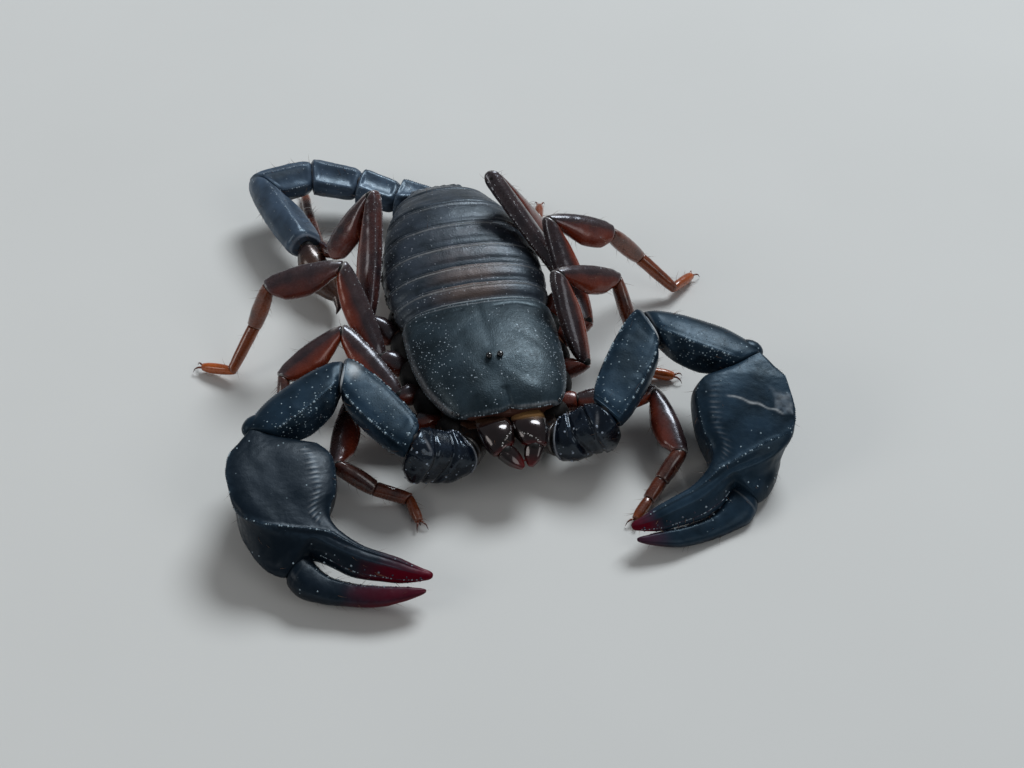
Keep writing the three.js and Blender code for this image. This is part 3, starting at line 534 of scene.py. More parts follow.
def makeFinish(name, look):
    material = bpy.data.materials.new(name)
    material.use_nodes = True
    tree = material.node_tree
    tree.nodes.clear()
    place = addNode(tree, "ShaderNodeTexCoord").outputs["Object"]

    def noise(scale, detail):
        inputs = {"Vector": place, "Scale": scale, "Detail": detail}
        return addNode(tree, "ShaderNodeTexNoise", inputs).outputs["Fac"]

    def mask(title):
        return addNode(tree, "ShaderNodeAttribute", attribute_name=title).outputs["Fac"]

    def span(value, low, high, toLow=0.0, toHigh=1.0):
        inputs = {0: value, 1: low, 2: high, 3: toLow, 4: toHigh}
        return outOf(tree, "ShaderNodeMapRange", inputs)

    def cellsOf(scale):
        return addNode(tree, "ShaderNodeTexVoronoi", {"Vector": place, "Scale": scale}).outputs

    wide = noise(look["mottle"], 5.0)
    fine = noise(look["mottle"] * 7.0, 3.0)
    # Body colour, then the second colour, worn ridges and pale rims over it.
    color = mixColor(tree, span(wide, 0.32, 0.68), look["deep"], look["light"])
    blotch = plus(tree, mask("tint"), span(wide, 0.2, 0.8, -0.2, 0.2))
    blotch = span(times(tree, blotch, span(mask("tint"), 0.0, 0.15)), 0.0, 1.0)
    color = mixColor(tree, blotch, color, look["tint"])
    tone = mixColor(tree, blotch, look.get("sheen", (1.0, 1.0, 1.0)), look.get("warm", (1.0, 0.7, 0.6)))
    worn = times(tree, mask("ridge"), span(fine, 0.3, 0.65, 0.15, 1.0))
    color = mixColor(tree, worn, color, look["ridge"])
    pale = times(tree, mask("rim"), span(fine, 0.25, 0.6, 0.55, 1.0))
    color = mixColor(tree, pale, color, look["rim"])
    # Painted glints: bright grains, and finer painted highlight specks strewn where the skin is granular.
    specks = cellsOf(speckScale)
    chance = outOf(tree, "ShaderNodeSeparateColor", {0: specks["Color"]})
    share = plus(tree, times(tree, mask("grain"), 0.45), look.get("strewn", 0.05) + 0.001)
    lot = span(mathNode(tree, "DIVIDE", chance, share), 0.0, 1.0, 0.8, 0.0)
    lot = times(tree, lot, look.get("speckled", 1.0))
    speck = times(tree, lot, span(specks["Distance"], 0.1, 0.26, 1.0, 0.0))
    bright = mathNode(tree, "MAXIMUM", speck, span(mask("glint"), 0.6, 1.0, 0.0, 0.85))
    color = mixColor(tree, bright, color, look.get("glint", look["rim"]))
    polished = times(tree, mathNode(tree, "MAXIMUM", mask("ridge"), bright), 0.15)
    gloss = mathNode(tree, "SUBTRACT", span(fine, 0.3, 0.7, *look["rough"]), polished)
    relief = times(tree, cellsOf(look["cells"])["Distance"], look["grain"])
    relief = plus(tree, relief, times(tree, fine, 0.25))
    relief = plus(tree, relief, times(tree, wide, look["dents"]))
    bump = {"Height": relief, "Strength": 0.8, "Distance": 0.022 * mm}
    raised = outOf(tree, "ShaderNodeBump", bump)
    shader = addNode(tree, "ShaderNodeBsdfPrincipled", {
        "Base Color": color, "Roughness": gloss, "Normal": raised, "IOR": 1.5,
        "Specular IOR Level": look.get("gleam", 0.5), "Specular Tint": tone,
        "Coat Weight": look["coat"], "Coat Roughness": look["coatRough"], "Coat IOR": 1.5,
    })
    out = addNode(tree, "ShaderNodeOutputMaterial")
    tree.links.new(shader.outputs[0], out.inputs[0])
    return material


finishes = {name: makeFinish(name + "Finish", look) for name, look in looks.items()}
hairSources = []


# Keeps every point within the overall box of the solids.
def keepInside(mesh):
    points = readOut(mesh.vertices, "co", np.float32, 3)
    inset = 0.001 * mm
    points = np.clip(points, np.array(cadLow) + inset, np.array(cadHigh) - inset)
    mesh.vertices.foreach_set("co", points.astype(np.float32).ravel())


# Grains of a cover: least gap and size in millimetres.
def grains(gap, size, uneven, seed):
    return {"Gap": gap * mm, "Size": size * mm, "Uneven": uneven, "Seed": seed}


# Joins the parts of a piece, scatters its grains and lets it stand for its solid.
def settle(name, parts, finish, nodes, grain=None):
    made = makeObject(name, joinShells(parts), finishes[finish])
    if grain:
        settings = {"Finish": finishes[finish], **grain}
        plain = made.data
        made.data = grown(made, grainCover, settings)
        made.data.name = name
        bpy.data.meshes.remove(plain)
    keepInside(made.data)
    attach(made, "root")
    if nodes:
        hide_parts(*nodes)


# Rows of little domes along paths of (points, normals).
def beads(paths, finish, size, spacing, uneven=0.25, seed=3, tint=0.0):
    edges, base = [], 0
    for line, _ in paths:
        edges += [(base + i, base + i + 1) for i in range(len(line) - 1)]
        base += len(line)
    points, normals = (np.vstack(part) for part in zip(*paths))
    mesh = bpy.data.meshes.new("beadLine")
    mesh.from_pydata((points * mm).tolist(), edges, [])
    addLayer(mesh, "outward", normals)
    source = addObject("beadLine", mesh)
    settings = {"Spacing": spacing * mm, "Size": size * mm, "Uneven": uneven, "Seed": seed}
    made = grown(source, beadRow, {"Finish": finishes[finish], **settings})
    shell = shellOf(made)
    shell["masks"]["tint"] = shell["masks"]["tint"] + tint
    bpy.data.objects.remove(source)
    bpy.data.meshes.remove(mesh)
    bpy.data.meshes.remove(made)
    return shell


# Pales a shell around a point.
def spotOn(shell, place, radius, amount):
    near = np.exp(-np.sum(((shell["points"] - place) / radius) ** 2, axis=1))
    shell["masks"]["rim"] = np.maximum(shell["masks"]["rim"], amount * near)


print("finishes and node trees are ready")


# Half the gap left between two segments at their shared plane.
mitreGap = 0.008


# One jointed stretch of shell, cut on the mitre planes it shares with its neighbours.
def segment(
    start, end, rows, hint=worldUp, before=None, after=None, flip=False,
    columns=44, step=0.07, soften=(0.12, 0.12), relief=None, marks=None, pinch=0.8,
):
    start, end = np.array(start, float), np.array(end, float)
    reach = np.linalg.norm(end - start)
    along = (end - start) / reach
    hint = np.array(hint, float)
    up = unit(hint - along * (hint @ along))
    side = np.cross(along, up)
    near = unit(along + unit(start - before)) if before is not None else along
    far = unit(along + unit(after - end)) if after is not None else along
    close = np.array([0.0, 0.03, 0.1, 0.22, 0.4, 0.65, 1.0])
    t = np.concatenate([
        np.linspace(0, 1, max(int(reach / step), 6)),
        close * soften[0] / reach, 1 - close * soften[1] / reach,
    ])
    t = np.unique(np.round(np.clip(t, 0, 1), 5))
    angle = np.arange(columns) * 2 * np.pi / columns
    w, high, low, topSquare, lowSquare, lift = throughRows(rows, t).T[:, :, None]
    squash, fade = np.ones(len(t)), np.ones((len(t), 1))
    for distance, radius in ((t * reach, soften[0]), ((1 - t) * reach, soften[1])):
        back = np.clip(1 - distance / radius, 0, 1)
        squash = np.minimum(squash, pinch + (1 - pinch) * np.sqrt(1 - back * back))
        fade = np.minimum(fade, ease(0, radius, distance)[:, None])
    rise = np.sin(angle)[None, :]
    square = np.where(rise > 0, topSquare, lowSquare)
    x = w * power(np.cos(angle)[None, :], 2 / square) * squash[:, None]
    z = power(rise, 2 / square) * np.where(rise > 0, high, low) * squash[:, None] + lift
    offset = x[..., None] * side + z[..., None] * up
    steep = 3 if reach > 2.5 else 2
    nearPull, farPull = ((1 - t) ** steep)[:, None], (t ** steep)[:, None]
    for plane, pull in ((near, nearPull), (far, farPull)):
        fold = plane @ along
        bend = plane - along * fold
        if np.linalg.norm(bend) > 1e-4:
            bend = unit(bend)
            inward = (offset @ bend) * (1 - fold) * pull
            offset = offset - inward[..., None] * bend
    early = (mitreGap - offset @ near) / (along @ near)
    late = (-mitreGap - offset @ far) / (along @ far)
    travel = reach * t[:, None] + early * nearPull + late * farPull
    grid = start + offset + travel[..., None] * along
    degrees = np.degrees(angle)
    degrees = (180.0 - degrees) % 360.0 if flip else degrees
    tGrid, aGrid = np.meshgrid(t, degrees, indexing="ij")
    masks = {}
    normals = gridNormals(grid)
    if relief is not None:
        height, ridge = relief(tGrid, aGrid, grid)
        grid = grid + normals * (height * fade)[..., None]
        masks["ridge"] = ridge * fade
        normals = gridNormals(grid)
    if marks is not None:
        masks.update(marks(tGrid, aGrid))
    aboveFloor(grid)
    return {
        "grid": grid, "normals": normals, "t": t, "angle": degrees, "along": along,
        "side": side, "up": up, "shell": closeGrid(grid, masks),
    }


# The line at one angle of a skin, between two of its stations.
def rowOn(skin, degrees, begin, finish):
    column = np.argmin(np.abs(turnFrom(skin["angle"], degrees)))
    keep = (skin["t"] >= begin) & (skin["t"] <= finish)
    return skin["grid"][keep, column], skin["normals"][keep, column]


def ringAt(skin, t):
    return np.argmin(np.abs(skin["t"] - t))


# Beads along rows of a skin, each row an angle and where it begins and ends.
def beadsOn(skin, rows, *settings, **more):
    return beads([rowOn(skin, *row) for row in rows], *settings, **more)


# A finished skin: its grid, normals, stations and angles, by which beads are laid, and its shell.
def skinOf(grid, masks, station=None, degrees=None):
    return {"grid": grid, "normals": gridNormals(grid), "t": station, "angle": degrees,
            "shell": closeGrid(grid, masks)}


# The same ridge on both sides of a middle angle.
def pair(spread, tall, wide, begin, finish, middle=90):
    return [(middle - spread, tall, wide, begin, finish), (middle + spread, tall, wide, begin, finish)]


# Long ridges on a segment: angle, height, width, from, to.
def keels(t, angle, ridges):
    height, mask = 0.0, 0.0
    for degrees, tall, wide, begin, finish in ridges:
        near = around(angle, degrees, wide)
        near = near * ease(begin - 0.06, begin + 0.06, t) * ease(finish + 0.06, finish - 0.06, t)
        height = height + tall * near
        if tall > 0:
            mask = np.maximum(mask, near)
    return height, mask


# Adds squareness and lift to plain rows of station, half width, height, depth.
def withRound(rows, square=2.3, low=None):
    return [[*row[:4], square, low or square, row[4] if len(row) > 4 else 0.0] for row in rows]


def ball(centre, radii, axes=np.eye(3), rings=12, columns=20, masks=None):
    lat = np.linspace(-np.pi / 2 + 0.15, np.pi / 2 - 0.15, rings)[:, None]
    lon = np.arange(columns)[None, :] * 2 * np.pi / columns
    local = np.stack([
        np.cos(lat) * np.cos(lon) * radii[0],
        np.cos(lat) * np.sin(lon) * radii[1],
        np.sin(lat) * radii[2] + 0 * lon,
    ], axis=-1)
    return closeGrid(np.asarray(centre, float) + local @ np.asarray(axes), masks or {}, tile=False)


# A tapering round tube through a few points.
def tube(path, radii, hint=worldUp, columns=12, rings=24, masks=None):
    stations = np.linspace(0, 1, len(path))
    rows = np.column_stack([stations, np.asarray(path, float), np.zeros(len(path)) + radii])
    t = np.linspace(0, 1, rings)
    found = throughRows(rows, t)
    centre, radius = found[:, :3], found[:, 3]
    along = unit(np.gradient(centre, axis=0))
    side = unit(np.cross(along, np.asarray(hint, float)))
    up = np.cross(side, along)
    angle = np.arange(columns) * 2 * np.pi / columns
    ring = np.cos(angle)[None, :, None] * side[:, None] + np.sin(angle)[None, :, None] * up[:, None]
    grid = centre[:, None] + ring * radius[:, None, None]
    tGrid, aGrid = np.meshgrid(t, np.degrees(angle), indexing="ij")
    return closeGrid(aboveFloor(grid), masks(tGrid, aGrid) if masks else {})


# Head shield.
headShield = {
    "rows": [
        [-3.62, 1.96, 3.3, 3.1], [-3.55, 2.14, 3.45, 3.06], [-3.42, 2.42, 3.6, 3.0], [-2.85, 2.8, 3.88, 2.9],
        [-2.1, 3.12, 4.1, 2.8], [-1.2, 3.4, 4.3, 2.74], [-0.6, 3.52, 4.38, 2.72], [0.6, 3.66, 4.36, 2.7],
        [1.9, 3.72, 4.3, 2.68], [2.9, 3.72, 4.2, 2.68], [3.42, 3.52, 4.1, 2.7],
    ],
    "arch": 2.5, "base": 2.44, "rings": 150, "columns": 150,
    "notch": 0.16, "notchWidth": 0.3, "cornerSweep": 0.2,
    # Furrows: points of the right half, depth, width.
    "furrows": [
        ([(0, -3.6), (0.06, -3.2), (0.04, -2.6)], 0.08, 0.09),
        ([(0, 1.7), (0, 2.4), (0, 3.2)], 0.09, 0.08),
        ([(0, -0.4), (0, 0.6), (0, 1.5)], 0.02, 0.1),
        ([(0.05, 2.2), (0.7, 1.75), (1.45, 0.85), (2.1, 0.15), (2.75, -0.65), (3.1, -1.5)], 0.01, 0.22),
        ([(0.0, -1.1), (0.0, -0.65)], 0.06, 0.06),
        ([(0.5, -1.4), (1.0, -2.0), (1.9, -2.6)], 0.015, 0.22),
        ([(0.9, 2.75), (1.9, 2.85), (3.0, 2.6)], 0.03, 0.12),
    ],
    # Swellings of the right half: x, y, half width, half length, height.
    "swellings": [
        (0.0, -0.9, 0.42, 0.5, 0.07), (1.15, -2.7, 0.7, 0.6, 0.06), (0.75, 1.1, 0.55, 0.9, 0.02),
        (2.1, 1.7, 0.8, 0.8, 0.02),
    ],
}


# The head is turned a little to the animal's left.
def headTurn(y):
    return 0.3 * np.maximum(0, (0.6 - y) / 4.2) ** 1.4


def distanceToPath(x, y, path):
    best = np.full(x.shape, 9.0)
    for (ax, ay), (bx, by) in zip(path[:-1], path[1:]):
        length = (bx - ax) ** 2 + (by - ay) ** 2
        t = np.clip(((x - ax) * (bx - ax) + (y - ay) * (by - ay)) / length, 0, 1)
        best = np.minimum(best, np.hypot(x - ax - t * (bx - ax), y - ay - t * (by - ay)))
    return best


# Rings of the shield or a back plate: an arch above, turned-in edges and a flat floor below.
def archGrid(y, w, crest, margin, base, arch, upper, under=6):
    angle = np.linspace(0, np.pi, upper)[None, :]
    x = w[:, None] * power(np.cos(angle), 2 / arch)
    z = margin[:, None] + (crest - margin)[:, None] * power(np.sin(angle), 2 / arch)
    turn = [(-0.985, 0.45), (-0.93, 1.0), (-0.4, 1.0), (0.4, 1.0), (0.93, 1.0), (0.985, 0.45)]
    for share, drop in turn:
        x = np.column_stack([x, w * share])
        z = np.column_stack([z, margin + (base - margin) * drop])
    return x, np.repeat(y[:, None], upper + under, axis=1), z


def buildShield():
    s = headShield
    t = np.linspace(0, 1, s["rings"])
    t = t - 0.08 * np.sin(2 * np.pi * t)
    length = s["rows"][-1][0] - s["rows"][0][0]
    station = s["rows"][0][0] + length * t
    w, crest, margin = throughRows(s["rows"], station).T
    base = s["base"] + (margin - 0.1 - s["base"]) * ease(-2.7, -3.5, station)
    x, y, z = archGrid(station, w, crest, margin, base, s["arch"], s["columns"])
    half = np.abs(x)
    front = s["notch"] * hump(x, 0, s["notchWidth"]) + s["cornerSweep"] * ease(0.9, 2.2, half) ** 2
    fromFront = y - s["rows"][0][0]
    y = y + front * (1 - t[:, None]) ** 5
    top, height = np.zeros(x.shape), np.zeros(x.shape)
    top[:, : s["columns"]] = 1.0
    for path, depth, width in s["furrows"]:
        height -= depth * hump(distanceToPath(half, y, path), 0, width)
    for cx, cy, wide, long, tall in s["swellings"]:
        height += tall * np.exp(-(((half - cx) / wide) ** 2) - ((y - cy) / long) ** 2)
    edge = hump(fromFront, 0.12, 0.07)
    sideEdge = hump(half / w[:, None], 0.985, 0.016) * ease(0.02, 0.1, t[:, None])
    rearEdge = hump(y, s["rows"][-1][0] - 0.06, 0.04) + 0.6 * hump(y, s["rows"][-1][0] - 0.3, 0.04)
    across = np.stack([x, 0 * x, 0 * x], axis=-1)
    beading = 0.55 + 0.25 * np.sin(x * 41.0 + 4 * softNoise(across, 0.5, 7))
    beading = np.clip(beading + 0.7 * softNoise(across, 0.22, 8), 0, 1)
    height += 0.03 * edge * beading + 0.03 * sideEdge + 0.02 * rearEdge
    grid = np.stack([x, y, z], axis=-1)
    rough = softNoise(grid, 0.7, 4) * 0.014 + softNoise(grid, 0.16, 5) * 0.003
    band = ease(2.0, 3.1, half) * ease(2.9, 1.6, np.abs(y + 0.3))
    speckle = hump(half, 1.9, 0.35) * hump(y, 0.9, 0.8) + ease(2.6, 3.2, y) * 0.5
    grainy = 0.14 + 0.8 * band + 0.8 * speckle + 0.3 * softNoise(grid, 0.6, 6)
    normals = gridNormals(grid)
    grid = grid + normals * ((height + rough) * top)[..., None]
    frontWall = (t[:, None] < 0.03) * (1 - top) + (t[:, None] < 0.004) * top
    # The pale rim along the beaded front lip, strongest on the left lobe, is painted highlight.
    masks = {
        "ridge": np.clip(0.7 * edge * beading + 0.7 * sideEdge, 0, 1) * top,
        "tint": np.clip(frontWall * 2, 0, 1),
        "rim": (0.75 * rearEdge * (0.4 + 0.6 * ease(3.0, 1.0, half)) + 0.3 * sideEdge
                + 0.8 * hump(fromFront, 0.11, 0.05) * beading * (0.25 + 0.75 * ease(-0.4, 0.7, x))
                + 0.5 * sideEdge * ease(0.5, -1.0, x) * ease(1.2, -1.0, y)) * top,
        "grain": np.clip(grainy, 0, 1) * top * ease(0.02, 0.06, t[:, None]),
    }
    grid[..., 0] += headTurn(grid[..., 1])
    skin = skinOf(grid, masks)
    front = slice(22, s["columns"] - 22)
    lines = [(skin["grid"][2, front], skin["normals"][2, front])]
    parts = [skin["shell"], beads(lines, "shell", 0.03, 0.08, 0.4)]
    for column in (2, s["columns"] - 3):
        line = skin["grid"][8:-4, column], skin["normals"][8:-4, column]
        parts.append(beads([line], "shell", 0.028, 0.1, 0.4, seed=column))
    settle("headShield", parts, "shell", ["carapace"], grains(0.115, 0.024, 0.65, 11))


buildShield()

# Middle eyes and the pairs of small eyes at the shield's front corners.
for name, solid in (("eyeLeft", "eye_left"), ("eyeRight", "eye_right")):
    low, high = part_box(solid)
    centre = np.array((low + high) / 2) / mm
    radii = np.array(high - low) / mm / 2
    settle(name, [ball(centre, radii, rings=24, columns=36)], "eyes", [solid])
sideEyes = []
for side in (1, -1):
    for x, y, z in ((2.42, -3.2, 3.22), (2.6, -2.94, 3.16)):
        sideEyes.append(ball((side * x + headTurn(y), y, z), (0.09, 0.09, 0.09)))
settle("sideEyes", sideEyes, "eyes", [])
print("head shield and eyes are made")


# Back plates.
backPlates = {
    "rears": [4.5, 5.7, 7.1, 8.7, 10.4, 12.2, 14.2],
    "widths": [3.88, 4.02, 4.02, 3.75, 3.3, 2.55, 1.35],
    "crests": [4.25, 4.4, 4.58, 4.68, 4.58, 3.98, 2.6],
    "brown": [0.75, 0.6, 0.22, 0.1, 0.0, 0.0, 0.1], "paleRear": [1.0, 1.0, 0.95, 0.75, 0.5, 0.4, 0.5],
    "first": [3.42, 3.6, 4.02], "rings": 34, "columns": 150, "base": 2.44,
}


# A back plate runs from the rear edge of the one before it to its own.
def buildPlate(i):
    p = backPlates
    ends = [p["first"], *zip(p["rears"], p["widths"], p["crests"])]
    (front, frontWidth, frontCrest), (rear, width, crest) = ends[i : i + 2]
    last = i == 6
    margin = 2.62 - 0.05 * max(0, i - 4) - (0.35 if last else 0)
    foreMargin = 2.62 - 0.05 * max(0, i - 5)
    start = front - 0.06
    rows = [
        [start, frontWidth - 0.12, frontCrest - 0.16, foreMargin - 0.02],
        [front + 0.14, frontWidth - 0.06, frontCrest - 0.06, foreMargin],
        [(start + rear) / 2, (frontWidth + width) / 2 + 0.02, (frontCrest + crest) / 2 + 0.03,
         (foreMargin + margin) / 2],
        [rear - 0.1, width + 0.01, crest + 0.02, max(margin, 2.45)],
        [rear, width - 0.03, crest - 0.05, max(margin, 2.45)],
    ]
    s = np.linspace(0, 1, p["rings"])
    s = s - 0.1 * np.sin(2 * np.pi * s)
    station = start + (rear - start) * s
    w, top, edge = throughRows(rows, station).T
    x, y, z = archGrid(station, w, top, edge, p["base"], 2.1 if last else 2.3, p["columns"])
    half = np.abs(x) / w[:, None]
    upper = np.zeros(x.shape)
    upper[:, : p["columns"]] = 1.0
    share = (y - front) / (rear - front)
    lip, crease, second = hump(rear - y, 0.1, 0.07), hump(share, 0.24, 0.07), hump(share, 0.72, 0.06)
    keel = hump(x, 0, 0.14) * ease(0.3, 0.6, share) * (0.015 if i < 6 else 0.06)
    height = 0.02 * lip - 0.02 * crease - 0.03 * hump(rear - y, 0.3, 0.05) + keel
    height += 0.03 * hump(half, 0.97, 0.03)
    if last:
        for place in (0.35, 0.75):
            height += 0.05 * hump(half, place, 0.06) * ease(0.3, 0.6, share)
    grid = np.stack([x, y, z], axis=-1)
    height += softNoise(grid, 0.6, 8 + i) * 0.01 + softNoise(grid, 0.15, 20 + i) * 0.004
    normals = gridNormals(grid)
    grid = grid + normals * (height * upper)[..., None]
    grid[..., 1] += 0.05 * softNoise(grid, 0.9, 40 + i) * ease(0.5, 1.0, share) * upper
    masks = {
        "ridge": np.clip(0.35 * hump(half, 0.97, 0.04) + 0.3 * second + 4 * keel, 0, 1) * upper,
        "tint": p["brown"][i] * ease(0.75, 0.1, half) * ease(0.05, 0.35, share) * upper,
        "rim": (hump(rear - y, 0.03, 0.035) + 0.55 * hump(rear - y, 0.22, 0.03)) * upper
        * p["paleRear"][i] * (0.35 + 0.65 * ease(0.95, 0.4, half)),
        "grain": upper * np.clip(0.12 + 0.5 * hump(share, 0.8, 0.12) + 0.35 * ease(0.5, 0.95, half)
                                 + 0.35 * softNoise(grid, 0.7, 60 + i), 0, 1),
        "hairy": upper * 0.3 * ease(0.7, 0.95, share),
    }
    skin = closeGrid(grid, masks)
    skin["masks"]["tint"][-2:] = 0
    normals = gridNormals(grid)
    sides = [(grid[4:-3, column], normals[4:-3, column]) for column in (3, p["columns"] - 4)]
    parts = [skin, beads(sides, "plates", 0.026, 0.1, 0.4, seed=i)]
    hairSources.append((skin, 0.35))
    settle(f"backPlate{i + 1}", parts, "plates", [f"tergite_{i + 1}"], grains(0.13, 0.023, 0.65, 30 + i))


for i in range(len(backPlates["rears"])):
    buildPlate(i)

# Soft flanks between the back and belly plates, in pleats.
flank = {
    "rows": [[2.9, 3.3, 0.2], [3.6, 3.5, 0.26], [5.0, 3.72, 0.3], [7.0, 3.8, 0.32], [8.6, 3.6, 0.3],
             [10.3, 3.15, 0.28], [12.0, 2.5, 0.24], [13.6, 1.5, 0.16], [14.0, 1.2, 0.1]],
    "rings": 220, "columns": 26,
}
for name, side in (("flankLeft", 1), ("flankRight", -1)):
    station = np.linspace(flank["rows"][0][0], flank["rows"][-1][0], flank["rings"])
    reach, size = throughRows(flank["rows"], station).T
    pleat = 0.03 * np.sin(station * 22) + 0.05 * np.sin(station * 4.2 + 1)
    angle = np.arange(flank["columns"]) * 2 * np.pi / flank["columns"]
    fold = 1 + 0.1 * np.sin(angle * 7)[None, :]
    out = reach[:, None] + pleat[:, None] + size[:, None] * 0.75 * np.cos(angle)[None, :] * fold
    grid = np.stack([
        side * out, np.repeat(station[:, None], flank["columns"], 1),
        2.36 + size[:, None] * 1.25 * np.sin(angle)[None, :] * fold,
    ], axis=-1)
    settle(name, [closeGrid(grid, {"ridge": np.clip(8 * pleat, 0, 0.6)[:, None]})], "membrane", [])
print("back plates and flanks are made")

# Belly plates behind the legs.
bellyPlates = {
    "rows": [
        [4.85, 3.55, 0.12, 2.3], [6.3, 3.85, 0.0, 2.7], [8.0, 3.7, 0.0, 2.6], [9.7, 3.3, 0.0, 2.3],
        [11.3, 2.7, 0.1, 1.9], [14.15, 1.25, 0.55, 0.8],
    ],
    "seams": [6.38, 8.08, 9.78, 11.38], "top": 2.38, "rings": 190, "columns": 72,
}


def buildBelly():
    b = bellyPlates
    station = np.linspace(b["rows"][0][0], b["rows"][-1][0], b["rings"])
    w, low, flat = throughRows(b["rows"], station).T
    turn = np.linspace(0, 1, b["columns"] // 2)
    corners = [(w * 0.97, np.full_like(w, b["top"])), (w, np.full_like(w, b["top"] - 0.5)),
               ((w + flat) / 2 + 0.25, low + 0.45), (flat, low + 0.02), (flat * 0, low)]
    place = np.linspace(0, 1, len(corners))
    half = np.array([throughRows(np.column_stack([place, [[c[0][r], c[1][r]] for c in corners]]), turn)
                     for r in range(len(station))])
    x = np.hstack([half[..., 0], -half[:, ::-1, 0]])
    z = np.hstack([half[..., 1], half[:, ::-1, 1]])
    y = np.repeat(station[:, None], x.shape[1], 1)
    grid = np.stack([x, y, z], axis=-1)
    seam, lip, spiracle = 0.0, 0.0, 0.0
    for edge in b["seams"]:
        seam = seam + hump(y, edge, 0.05)
        lip = lip + hump(y, edge - 0.1, 0.06)
        spiracle = spiracle + np.exp(-(((np.abs(x) - 2.0) / 0.2) ** 2) - ((y - edge + 0.7) / 0.07) ** 2)
    height = -0.09 * seam + 0.02 * lip - 0.06 * spiracle + 0.01 * softNoise(grid, 0.4, 61)
    grid = aboveFloor(grid + gridNormals(grid) * height[..., None])
    masks = {"ridge": np.clip(lip * 0.5, 0, 1), "rim": np.clip(lip - 0.4, 0, 1) * 0.6,
             "hairy": 0.25, "tint": 0.15}
    skin = closeGrid(grid, masks)
    hairSources.append((skin, 0.3))
    settle("bellyPlates", [skin], "belly", ["venter"])


buildBelly()

# Legs: right and left, from the front pair to the last. Joints from the body outwards: hip,
# trochanter, knee, shin, shank, ankle, toe.
legs = {
    "r1": [(-2.75, -1.55, 1.4), (-3.95, -1.65, 1.5), (-6.75, -0.15, 2.0), (-8.0, -3.9, 1.85),
           (-6.45, -4.75, 0.8), (-4.95, -5.4, 0.42), (-4.65, -7.0, 0.22)],
    "r2": [(-3.35, 0.1, 1.6), (-4.5, -0.05, 1.8), (-6.68, 3.2, 3.3), (-9.75, 1.75, 2.3),
           (-10.1, -0.3, 0.85), (-9.5, -1.9, 0.4), (-8.3, -2.9, 0.22)],
    "r3": [(-3.85, 1.9, 1.6), (-5.0, 2.5, 2.0), (-6.22, 6.15, 4.85), (-9.83, 5.85, 4.5),
           (-10.75, 5.7, 2.25), (-12.15, 4.52, 0.62), (-13.95, 5.6, 0.22)],
    "r4": [(-4.0, 4.1, 1.6), (-5.2, 5.15, 2.1), (-3.95, 9.95, 5.85), (-6.2, 9.6, 3.0),
           (-6.65, 12.65, 0.8), (-6.85, 16.1, 0.5), (-6.8, 18.3, 0.22)],
    "l1": [(2.75, -1.6, 1.4), (3.95, -1.9, 1.5), (7.5, -2.7, 2.0), (7.85, -6.1, 1.45),
           (6.75, -7.0, 0.75), (5.95, -7.75, 0.42), (4.85, -8.85, 0.22)],
    "l2": [(3.5, 0.05, 1.65), (4.7, 0.1, 2.05), (4.1, 3.0, 5.3), (7.28, 3.75, 3.7),
           (7.85, 2.1, 1.5), (8.1, 0.3, 0.5), (9.75, -0.2, 0.22)],
    "l3": [(4.05, 2.15, 1.7), (5.45, 2.75, 2.2), (4.55, 6.6, 5.6), (7.7, 6.55, 4.3),
           (9.4, 6.8, 2.2), (11.1, 5.85, 0.6), (12.75, 7.15, 0.22)],
    "l4": [(4.0, 4.15, 1.65), (5.3, 5.2, 2.4), (2.2, 9.62, 6.4), (5.0, 9.3, 2.35),
           (3.6, 11.9, 0.75), (5.45, 12.9, 0.42), (5.9, 14.5, 0.22)],
}
legShapes = {
    "size": {"1": 0.88, "2": 0.95, "3": 1.0, "4": 1.06},
    "stout": {"1": 1.16, "2": 1.05, "3": 1.06, "4": 1.06},
    "collar": [[0, 0.42, 0.46, 0.46], [0.2, 0.5, 0.55, 0.54], [0.5, 0.53, 0.6, 0.58],
               [0.8, 0.5, 0.57, 0.56], [1, 0.42, 0.5, 0.5]],
    "thigh": [[0, 0.38, 0.48, 0.48], [0.12, 0.43, 0.57, 0.6], [0.6, 0.45, 0.7, 0.76],
              [0.84, 0.45, 0.7, 0.68], [0.94, 0.43, 0.62, 0.58], [1, 0.38, 0.5, 0.48]],
    "knee": [[0, 0.38, 0.46, 0.44], [0.08, 0.42, 0.55, 0.54], [0.2, 0.45, 0.63, 0.68],
             [0.5, 0.48, 0.7, 0.88], [0.84, 0.45, 0.61, 0.8], [0.95, 0.4, 0.5, 0.58], [1, 0.36, 0.42, 0.44]],
    "shin": [[0, 0.3, 0.34, 0.34], [0.2, 0.34, 0.4, 0.4], [0.5, 0.34, 0.42, 0.42],
             [0.86, 0.31, 0.37, 0.37], [1, 0.28, 0.32, 0.32]],
    "shank": [[0, 0.27, 0.31, 0.31], [0.2, 0.28, 0.32, 0.32], [0.8, 0.27, 0.3, 0.3], [1, 0.24, 0.26, 0.26]],
    "foot": [[0, 0.23, 0.25, 0.25], [0.2, 0.26, 0.28, 0.3], [0.6, 0.26, 0.27, 0.31],
             [0.86, 0.22, 0.23, 0.25], [1, 0.15, 0.15, 0.16]],
    "brown": {"collar": 0.6, "thigh": 0.8, "knee": 0.35, "shin": 0.25, "shank": 0.45, "foot": 0.7},
    # Per-leg glow strengths and the least share on r4 are a painted glow of light through those legs.
    "footShare": 0.8, "glow": {"r3": 2.4, "l3": 1.6, "l2": 1.6, "r4": 0.6},
    "kneeGlow": {"r2": 2.2, "l2": 2.4, "l3": 2.0, "r3": 0.9, "r1": 1.6}, "leastGlow": {"r4": 0.13},
}
softJoints = []


def scaledRows(rows, factor):
    return [[r[0], r[1] * factor, r[2] * factor, r[3] * factor] for r in rows]


